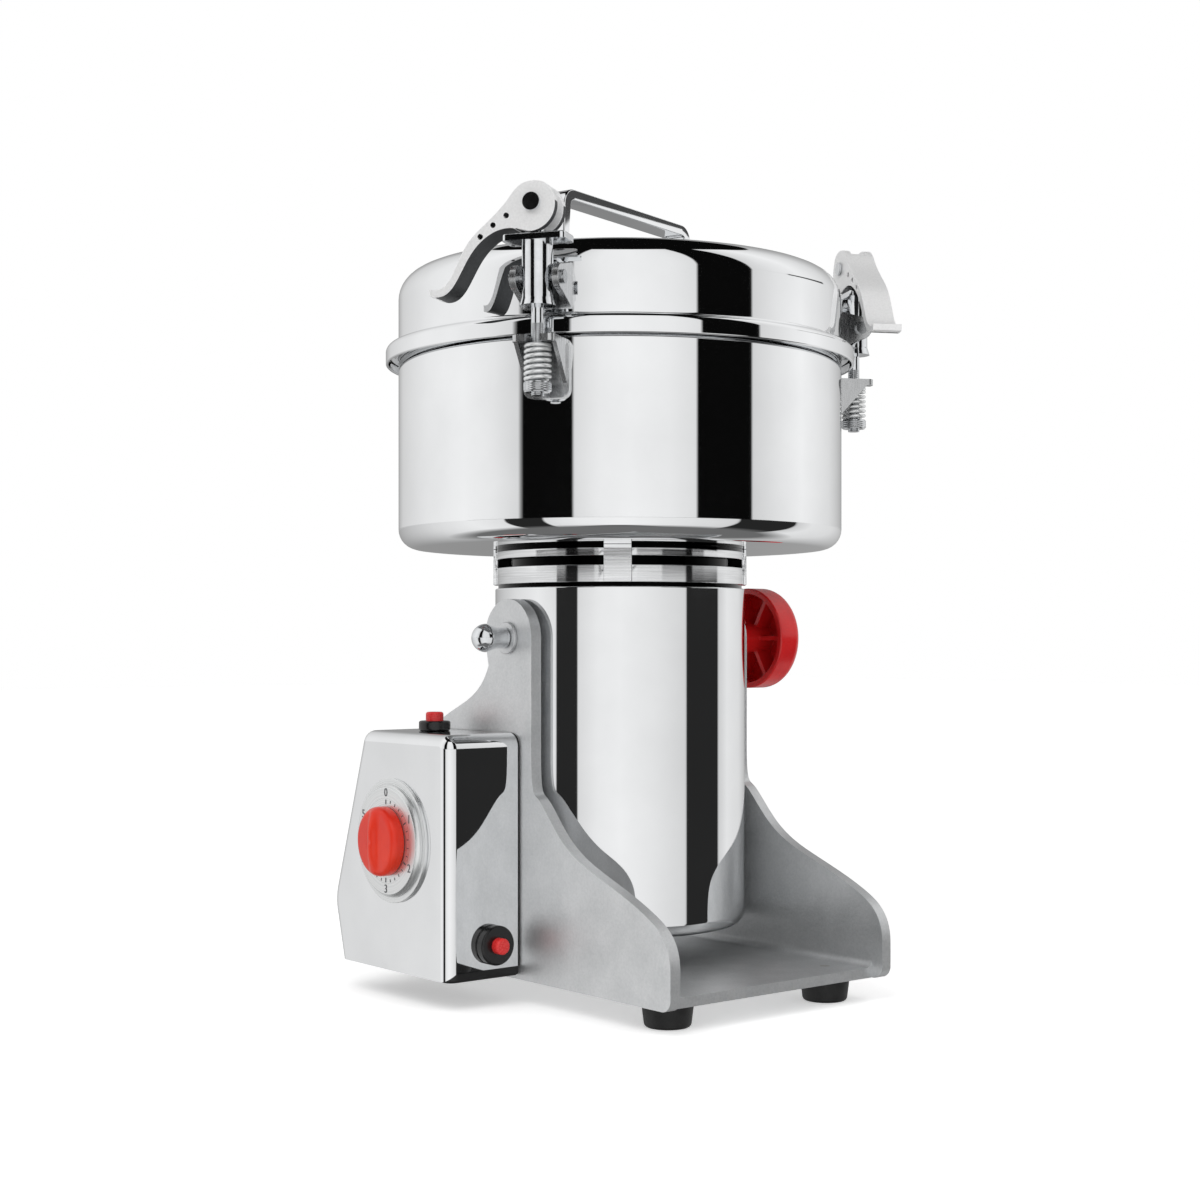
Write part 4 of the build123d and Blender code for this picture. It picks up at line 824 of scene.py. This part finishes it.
class MILL_OT_clamps(bpy.types.Operator):
    """Build the three clamps: levers, barrels, rods and coil springs"""

    bl_idname = "mill.clamps"
    bl_label = "Clamps"

    def execute(self, context):
        s = context.scene.mill_clamps
        soften("hinge_ears", "clamp_brackets", 0.5, FINISH["satin"], "lid")
        soften("rod_shelves", "bowl_lugs", 0.5, FINISH["satin"], "grinder")
        dress(FINISH["steel"], "hinge_pins")
        for number in (1, 2, 3):
            lever = soften(
                f"cam_lever_{number}", f"clamp_lever_{number}", s.soft_edge / MM, FINISH["lever"],
                f"lever_{number}", segments=3,
            )
            leave_rough_below(lever, FINISH["lever_below"])
            soften(f"barrel_{number}", f"clamp_barrel_{number}", 0.4, FINISH["chrome"], f"clamp_{number}")
            soften(f"pull_rod_{number}", f"clamp_rod_{number}", 0.3, FINISH["thread"], f"rod_{number}")
            coil = coil_spring(f"clamp_spring_{number}", s.wire / MM, s.coils)
            add_piece(f"coil_spring_{number}", surface(coil, False, True), FINISH["spring"],
                      f"rod_{number}", [f"clamp_spring_{number}"], even=False)
        return {"FINISHED"}


def box_outline(low, high):
    """The control box seen from its dial's side, from the front's foot over the top to the back's foot.

    Five corners (depth, height), of which the inner three are swapped for arcs. With each point
    comes its direction into the box: the line's own direction, turned by a quarter.
    """
    front, back, base, top = low[1], high[1], low[2], high[2]
    top_run, top_bend, back_rise, back_foot, back_bend = 77, 7, 26, 9, 24
    outline = rounded_path(
        [
            (front, base), (front, top), (front + top_run, top), (back, base + back_rise),
            (back - back_foot, base),
        ],
        [top_bend, top_bend, back_bend],
        steps=12,
    )
    ahead = np.gradient(outline, axis=0)
    ahead /= np.linalg.norm(ahead, axis=1)[:, None]
    return outline, np.stack([ahead[:, 1], -ahead[:, 0]], axis=-1)


def box_sheet(outline, inward, low, high, seal, edge, lip):
    """The box cover's outside: its outline swept towards the dial's side, round a corner to a face.

    Through the corner's quarter turn the outline moves in by edge * (1 - cos) and its distance from
    the face is edge * (1 - sin). The flat face is that last outline, drawn together in equal shares
    towards a point on its lower edge.
    """
    base, fan_shift = low[2], 6
    bend = np.linspace(0, math.pi / 2, 9)
    inset = np.concatenate([[0], edge * (1 - np.cos(bend))])
    sweep = np.concatenate([[high[0] - seal], low[0] + edge * (1 - np.sin(bend))])
    rim = outline[None] + inward[None] * inset[:, None, None]
    rim[..., 1] = np.maximum(rim[..., 1], base)
    rim[:, -1, 1] = base
    drawn_to = np.array([(low[1] + high[1]) / 2 - fan_shift, base])
    share = np.linspace(0, 1, 8)[1:, None, None]
    sheet = np.concatenate([rim, rim[-1:] * (1 - share) + drawn_to * share])
    across = np.concatenate([sweep, np.full(len(share), low[0])])
    across = np.broadcast_to(across[:, None, None], sheet.shape[:2] + (1,))
    grid = np.concatenate([across, sheet], axis=-1)
    # On the dial's side the sheet's lower edge hangs over the tray; it drops along the corner.
    hang = np.clip((low[0] + edge - grid[..., 0]) / edge, 0, 1)
    grid[..., 2] -= lip * hang * (grid[..., 2] < base + 0.01)
    return grid


class MILL_OT_control_box(bpy.types.Operator):
    """Build the control box's cover and dress its tray and buttons"""

    bl_idname = "mill.control_box"
    bl_label = "Control box"

    def execute(self, context):
        s = context.scene.mill_controls
        edge, seal, lip = s.edge / MM, s.seal / MM, s.lip / MM
        low, high = (np.array(corner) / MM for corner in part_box("box_cover"))
        outline, inward = box_outline(low, high)
        grid = box_sheet(outline, inward, low, high, seal, edge, lip)
        cover = add_piece("control_cover", surface(grid), FINISH["mirror"], "cradle",
                          ["box_cover"], even=False)
        wall = cover.modifiers.new("sheet", "SOLIDIFY")
        wall.thickness = s.sheet
        wall.offset = -1
        shade_evenly(cover)
        # A black strip in the joint with the cradle's plate is painted shade for the gap there: a flat strip
        # carried along the outline.
        sunk, inner = 0.1, 1.2
        strip = np.array([(-0.5, sunk), (0.5, sunk), (0.5, inner), (-0.5, inner)])
        centres = np.column_stack([np.full(len(outline), high[0] - seal / 2), outline])
        inside = np.column_stack([np.zeros(len(inward)), inward])
        joint_shade_width = np.repeat([[seal, 0, 0]], len(outline), axis=0)
        ring = surface(tube(centres, joint_shade_width, inside, strip), False, True)
        add_piece("joint_shade_strip", ring, FINISH["rubber"], "cradle", even=False)
        soften("control_tray", "box_tray", 0.5, FINISH["black"], "cradle")
        soften("cable_gland", "cord_gland", 0.4, FINISH["black"], "cradle")
        dress(FINISH["steel"], "timer_case", "timer_shaft")
        dress(FINISH["bezel"], "start_switch", "overload_breaker")
        dress(FINISH["button"], "start_button", "reset_button")
        dress(FINISH["spring"], "start_spring", "reset_spring")
        return {"FINISHED"}


def dial_ticks(face_x):
    """The dial's ticks: thin bars on a circle, every 12 degrees, longer and wider at each number.

    A bar's corners lie on its spoke at an inner and an outer radius, half its width to either side.
    """
    degrees = np.arange(0, TIMER_SPAN + 1, TICK_STEP)
    at_number = (degrees % NUMBER_STEP == 0)[:, None]
    inner, half = np.where(at_number, 18.3, 19.2), np.where(at_number, 0.35, 0.2)
    outer = 20.6
    angles = np.radians(degrees)
    out = np.stack([np.sin(angles), np.cos(angles)], axis=-1)
    side = np.stack([out[:, 1], -out[:, 0]], axis=-1) * half
    bars = [out * inner - side, out * inner + side, out * outer + side, out * outer - side]
    corners = np.stack(bars, axis=1).reshape(-1, 2)
    # Seen from outside, a clockwise turn goes from up towards the front of the mill.
    x = np.full(len(corners), face_x)
    flat = np.stack([x, DIAL[1] - corners[:, 0], DIAL[2] + corners[:, 1]], axis=-1)
    raised = flat - [INK, 0, 0]
    count = len(corners)
    start = np.arange(0, count, 4)[:, None]
    ends = [start + np.array([0, 1, 2, 3]) + count, start + np.array([3, 2, 1, 0])]
    walls = [start + np.array([i, (i + 1) % 4, (i + 1) % 4 + count, i + count]) for i in range(4)]
    return np.concatenate([flat, raised]), np.concatenate(ends + walls)


class MILL_OT_dial(bpy.types.Operator):
    """Build the dial's marks and numbers, the timer knob and the lock knob"""

    bl_idname = "mill.dial"
    bl_label = "Dial and knobs"

    def execute(self, context):
        s = context.scene.mill_controls
        soften("dial_disc", "dial_plate", 0.3, FINISH["dial"], "cradle")
        add_piece("dial_ticks", dial_ticks(DIAL_FACE_X - INK_GAP), FINISH["print"], "cradle",
                  even=False)
        ring = s.number_ring / MM
        for number, degrees in enumerate(range(0, TIMER_SPAN + 1, NUMBER_STEP)):
            turn = math.radians(degrees)
            place = [DIAL_FACE_X - INK_GAP, DIAL[1] - ring * math.sin(turn), DIAL[2] + ring * math.cos(turn)]
            add_numeral(str(number), place, s.numerals / MM)
        low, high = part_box("timer_knob")
        radius, height = half_height("timer_knob"), (high.x - low.x) / MM
        knob = timer_knob(radius, height, s.skirt / MM, s.dome / MM, s.ridge / MM)
        placed = stood_on(knob, (high.x / MM, DIAL[1], DIAL[2]), (-1, 0, 0))
        add_piece("timer_grip", surface(placed, False, True), FINISH["orange"], "timer",
                  ["timer_knob"], even=False)
        soften(
            "tilt_lock_knob", "lock_knob", 0.7, FINISH["deep_red"], "lock", segments=3
        )
        return {"FINISHED"}


def timer_knob(radius, height, skirt, dome, ridge):
    """A low domed knob with a soft ridge across it, drawn about +Z with the ridge along Y.

    A side profile goes round a circle. To its height is added a cosine hump of the distance from
    the ridge's line, which fades towards the rim as the root of 1 - (r / radius) squared, less a
    small bell-shaped dimple in the middle.
    """
    shoulder, flat_radius = skirt + 2.4, radius * 0.4
    foot_edge, shoulder_bend, crown_bend = 0.3, 3.2, 12
    dimple_depth, dimple_reach = 0.5, 1.1
    side = rounded_path(
        [(0, 0), (radius, 0), (radius, shoulder), (flat_radius, dome), (0, dome)],
        [foot_edge, shoulder_bend, crown_bend],
        steps=12,
    )
    spans = np.linalg.norm(np.diff(side, axis=0), axis=1)
    walked = np.concatenate([[0], np.cumsum(spans)])
    even = np.linspace(0, walked[-1], 110)
    profile = np.stack([np.interp(even, walked, side[:, axis]) for axis in (0, 1)], axis=-1)
    grid = turned(profile, 120, (0, 0))
    on_top = np.clip((grid[..., 2] - skirt) / (dome - skirt), 0, 1)
    reach = np.hypot(grid[..., 0], grid[..., 1])
    fade = np.sqrt(np.clip(1 - (reach / radius) ** 2, 0, 1))
    hump = 0.5 + 0.5 * np.cos(np.pi * np.clip(grid[..., 0] / ridge, -1, 1))
    dimple = dimple_depth * np.exp(-((reach / dimple_reach) ** 2))
    grid[..., 2] += on_top * ((height - dome) * hump * fade - dimple)
    return grid


def add_numeral(text, place, height):
    """One number as a thin solid, standing upright on the dial's face."""
    curve = bpy.data.curves.new(f"numeral_{text}", "FONT")
    curve.body = text
    curve.size = height * FONT_SIZE
    curve.align_x, curve.align_y = "CENTER", "CENTER"
    curve.extrude = NUMERAL_HALF
    source = bpy.data.objects.new(f"numeral_source_{text}", curve)
    mesh = bpy.data.meshes.new_from_object(source)
    bpy.data.objects.remove(source)
    points = np.zeros(len(mesh.vertices) * 3)
    mesh.vertices.foreach_get("co", points)
    x, y, z = points.reshape(-1, 3).T
    # The writing's right is the mill's front, its up is up, and it faces out of the box.
    placed = np.stack([place[0] - NUMERAL_HALF - z, place[1] - x, place[2] + y], axis=-1)
    mesh.vertices.foreach_set("co", (placed * MM).ravel())
    mesh.update()
    finish_mesh(mesh)
    place_piece(f"dial_number_{text}", mesh, FINISH["print"], "cradle", ())


# ---------------------------------------------------------------- stage
# Brightness of the studio by direction, in degrees from the camera's side, for rays off metal.
UPPER_STUDIO = [
    (-180, 0.25), (-166, 0.4), (-150, 0.7), (-115, 0.92), (-85, 1.0), (-66, 0.92), (-51, 0.78),
    (-50.4, 0.003), (-23.4, 0.003), (-22.8, 0.8), (-10, 0.95), (5, 1.0), (25, 0.95), (38, 0.85),
    (38.6, 0.003), (68.9, 0.003), (69.5, 0.74), (85, 0.88), (105, 1.0), (135, 0.8), (162, 0.45),
    (180, 0.25),
]
LOWER_STUDIO = [
    (-180, 0.25), (-150, 0.5), (-110, 0.8), (-80, 0.95), (-60.3, 0.85), (-59.7, 0.022), (-38.6, 0.022),
    (-38, 0.8), (-20, 0.95), (0, 1.0), (30, 0.9), (61.8, 0.75), (62.4, 0.022), (100.8, 0.022),
    (101.4, 0.7), (115, 0.9), (140, 0.8), (165, 0.5), (180, 0.25),
]
# A low dark screen across the front, seen only in the neck, and a gap in the upper studio's light
# on the right, at the height of the lid's handle.
SCREEN = [
    (-180, 0.25), (-150, 0.5), (-110, 0.8), (-84, 0.9), (-82, 0.01), (82, 0.01), (84, 0.85), (115, 0.9),
    (150, 0.7), (180, 0.25),
]
GAP = UPPER_STUDIO[:17] + [
    (94, 0.9), (95, 0.07), (128, 0.07), (129, 0.82), (135, 0.8), (162, 0.45), (180, 0.25),
]
# Each part of the studio above the lowest, with the steepness of the rays at which it begins.
STUDIO_LEVELS = (
    (0.034, 0.04, UPPER_STUDIO), (0.0428, 0.0436, SCREEN), (0.0515, 0.0525, UPPER_STUDIO),
    (0.2115, 0.2135, GAP), (0.25, 0.26, UPPER_STUDIO),
)
UNDER_SHADE = (-0.75, -0.6)  # rays that go down more steeply meet the table's shade
CARD_LEAN = math.radians(11)  # an oval black card overhead leans back by this
CARD_HALF = (math.radians(39), math.radians(27))  # half its angle front to back, and sideways
CARD_RIM = 0.98  # the card's black fades out over the last fiftieth of its reach
STAGE_CENTRE = np.array([*CHAMBER, 180]) * MM
FLOOR_REACH = 6.0  # half the floor's side, in metres
LAMPS = (("key_lamp", 205, 48, 9.0), ("fill_lamp", 285, 35, 3.5))  # name, azimuth, elevation, watts
LAMP_DISTANCE, LAMP_SIZE = 1.7, 1.1  # metres
FRAME_SIDE = 1200  # the camera frame's side, in the pixels in which its shifts are given
SHIFT_RIGHT, SHIFT_UP = -20, 40


def studio_ramp(tree, turn, stops):
    """Brightness along the horizon, from a list of directions and values."""
    ramp = add(tree, "ShaderNodeValToRGB", {"Fac": turn})
    ramp.color_ramp.elements[0].position = 0.0
    ramp.color_ramp.elements[1].position = 1.0
    for degrees, _ in stops[1:-1]:
        ramp.color_ramp.elements.new(0.5 + degrees / 360)
    for element, (_, value) in zip(ramp.color_ramp.elements, stops):
        element.color = (value, value, value, 1)
    return ramp.outputs[0]


def blend(tree, value, start, end, below, above):
    """One colour where a value is under start, another where it is over end, mixed between."""
    share = add(tree, "ShaderNodeMapRange", {"Value": value, "From Min": start, "From Max": end}).outputs[0]
    return add(tree, "ShaderNodeMix", {0: share, 6: below, 7: above}, data_type="RGBA").outputs[2]


def card_reach(tree, faced):
    """How far a direction is from the middle of the card overhead, as a share of the card's reach.

    It is the root of (angle back / half the length) squared + (angle aside / half the width) squared.
    """
    long, wide = (math.sin(half) for half in CARD_HALF)
    backward = (math.cos(CARD_LEAN) / long, 0, math.sin(CARD_LEAN) / long)
    sideward = (0, 1 / wide, 0)
    back, aside = (
        add(tree, "ShaderNodeVectorMath", {0: faced, 1: axis}, operation="DOT_PRODUCT").outputs["Value"]
        for axis in (backward, sideward)
    )
    offset = add(tree, "ShaderNodeCombineXYZ", {0: back, 1: aside}).outputs[0]
    return add(tree, "ShaderNodeVectorMath", {0: offset}, operation="LENGTH").outputs["Value"]


def light_studio(azimuth):
    """The world: a striped studio for rays off metal, an even grey for others, white for the camera."""
    world = bpy.data.worlds.new("studio")
    bpy.context.scene.world = world
    world.use_nodes = True
    tree = world.node_tree
    tree.nodes.clear()
    here = add(tree, "ShaderNodeTexCoord").outputs["Generated"]
    faced = add(tree, "ShaderNodeMapping", {"Vector": here, "Rotation": (0, 0, -azimuth)}).outputs[0]
    turn = add(tree, "ShaderNodeTexGradient", {"Vector": faced}, gradient_type="RADIAL").outputs["Fac"]
    up = add(tree, "ShaderNodeSeparateXYZ", {0: here}).outputs[2]
    studio = studio_ramp(tree, turn, LOWER_STUDIO)
    for start, end, stops in STUDIO_LEVELS:
        studio = blend(tree, up, start, end, studio, studio_ramp(tree, turn, stops))
    studio = blend(tree, card_reach(tree, faced), CARD_RIM, 1.0, linear("0A0A0A"), studio)
    studio = blend(tree, up, *UNDER_SHADE, linear("707070"), studio)
    path = add(tree, "ShaderNodeLightPath").outputs
    rays = {0: path["Is Glossy Ray"], 1: path["Is Transmission Ray"]}
    shiny = add(tree, "ShaderNodeMath", rays, operation="MAXIMUM").outputs[0]
    sockets = {0: shiny, 6: (0.62, 0.62, 0.62, 1), 7: studio}
    lit = add(tree, "ShaderNodeMix", sockets, data_type="RGBA").outputs[2]
    sockets = {0: path["Is Camera Ray"], 6: lit, 7: (1, 1, 1, 1)}
    seen = add(tree, "ShaderNodeMix", sockets, data_type="RGBA").outputs[2]
    background = add(tree, "ShaderNodeBackground", {"Color": seen, "Strength": 1.0})
    add(tree, "ShaderNodeOutputWorld", {"Surface": background.outputs[0]})


def white_floor(colour, lift):
    """A matt white table, lifted towards white for the camera alone, so that it keeps its shadows."""
    material, tree, shader = begin("matt_white_floor", Roughness=0.9)
    shader.inputs["Specular IOR Level"].default_value = 0.1
    clouds = add(tree, "ShaderNodeMapRange", {"Value": noise(tree, 30, detail=2), "To Max": 0.02}).outputs[0]
    sockets = {0: clouds, 6: (*colour, 1), 7: (0.9, 0.9, 0.9, 1)}
    paper = add(tree, "ShaderNodeMix", sockets, data_type="RGBA").outputs[2]
    tree.links.new(paper, shader.inputs["Base Color"])
    path = add(tree, "ShaderNodeLightPath").outputs
    shown = add(tree, "ShaderNodeMath", {0: path["Is Camera Ray"], 1: lift}, operation="MULTIPLY").outputs[0]
    glow = add(tree, "ShaderNodeEmission", {"Strength": shown})
    both = add(tree, "ShaderNodeAddShader", {0: shader.outputs[0], 1: glow.outputs[0]})
    tree.links.new(both.outputs[0], tree.nodes["Material Output"].inputs["Surface"])
    return material


def hang_lamp(name, azimuth, elevation, watts):
    """A soft lamp for the floor and the dull pieces, which polished metal doesn't mirror."""
    lamp = bpy.data.lights.new(name, "AREA")
    lamp.size = LAMP_SIZE
    lamp.energy = watts
    holder = bpy.data.objects.new(name, lamp)
    bpy.context.scene.collection.objects.link(holder)
    holder.visible_glossy = False
    level = math.cos(elevation)
    direction = np.array([math.cos(azimuth) * level, math.sin(azimuth) * level, math.sin(elevation)])
    holder.location = STAGE_CENTRE + direction * LAMP_DISTANCE
    holder.rotation_euler = (math.pi / 2 - elevation, 0, azimuth + math.pi / 2)


def stand_camera(s):
    """The camera, level, facing the chamber's upright line, with its frame shifted."""
    camera = bpy.data.cameras.new("camera")
    camera.lens = s.lens
    camera.sensor_width = 36
    camera.shift_x = SHIFT_RIGHT / FRAME_SIDE
    camera.shift_y = SHIFT_UP / FRAME_SIDE
    camera.clip_end = 50
    holder = bpy.data.objects.new("camera", camera)
    bpy.context.scene.collection.objects.link(holder)
    across, ahead = s.distance * math.cos(s.azimuth), s.distance * math.sin(s.azimuth)
    holder.location = (STAGE_CENTRE[0] + across, STAGE_CENTRE[1] + ahead, s.height)
    holder.rotation_euler = (math.pi / 2, 0, s.azimuth + math.pi / 2)
    bpy.context.scene.camera = holder


class MILL_OT_stage(bpy.types.Operator):
    """Set the floor, the studio's light and the camera"""

    bl_idname = "mill.stage"
    bl_label = "Stage"

    def execute(self, context):
        s = context.scene.mill_stage
        mesh = bpy.data.meshes.new("floor")
        corners = [(x * FLOOR_REACH, y * FLOOR_REACH, 0) for x, y in ((-1, -1), (1, -1), (1, 1), (-1, 1))]
        mesh.from_pydata(corners, [], [(0, 1, 2, 3)])
        mesh.materials.append(white_floor(s.floor_colour, s.floor_lift))
        floor = bpy.data.objects.new("floor", mesh)
        context.scene.collection.objects.link(floor)
        floor.visible_glossy = False
        light_studio(s.azimuth)
        for name, azimuth, elevation, watts in LAMPS:
            hang_lamp(name, math.radians(azimuth), math.radians(elevation), watts)
        stand_camera(s)
        context.scene.view_settings.view_transform = "Standard"
        return {"FINISHED"}


OPERATORS = (
    MILL_OT_shells, MILL_OT_cradle, MILL_OT_neck, MILL_OT_insides, MILL_OT_handle, MILL_OT_clamps,
    MILL_OT_control_box, MILL_OT_dial, MILL_OT_stage,
)


class MILL_PT_sidebar(bpy.types.Panel):
    """Lists the builders in the 3D view's sidebar"""

    bl_label = "Grain mill"
    bl_idname = "MILL_PT_sidebar"
    bl_space_type = "VIEW_3D"
    bl_region_type = "UI"
    bl_category = "Grain mill"

    def draw(self, context):
        for operator in OPERATORS:
            self.layout.operator(operator.bl_idname)


SETTINGS = {
    "mill_shells": MillShellSettings,
    "mill_controls": MillControlSettings,
    "mill_clamps": MillClampSettings,
    "mill_stage": MillStageSettings,
}


def register():
    """Registers the settings, the builders and the panel."""
    for name, group in SETTINGS.items():
        bpy.utils.register_class(group)
        setattr(bpy.types.Scene, name, bpy.props.PointerProperty(type=group))
    for part in (*OPERATORS, MILL_PT_sidebar):
        bpy.utils.register_class(part)


def unregister():
    """Takes back what register did."""
    for part in reversed((*OPERATORS, MILL_PT_sidebar)):
        bpy.utils.unregister_class(part)
    for name, group in SETTINGS.items():
        delattr(bpy.types.Scene, name)
        bpy.utils.unregister_class(group)


def main():
    """Runs every builder in order."""
    register()
    make_finishes()
    for operator in OPERATORS:
        group, action = operator.bl_idname.split(".")
        getattr(getattr(bpy.ops, group), action)()


if __name__ == "__main__":
    main()
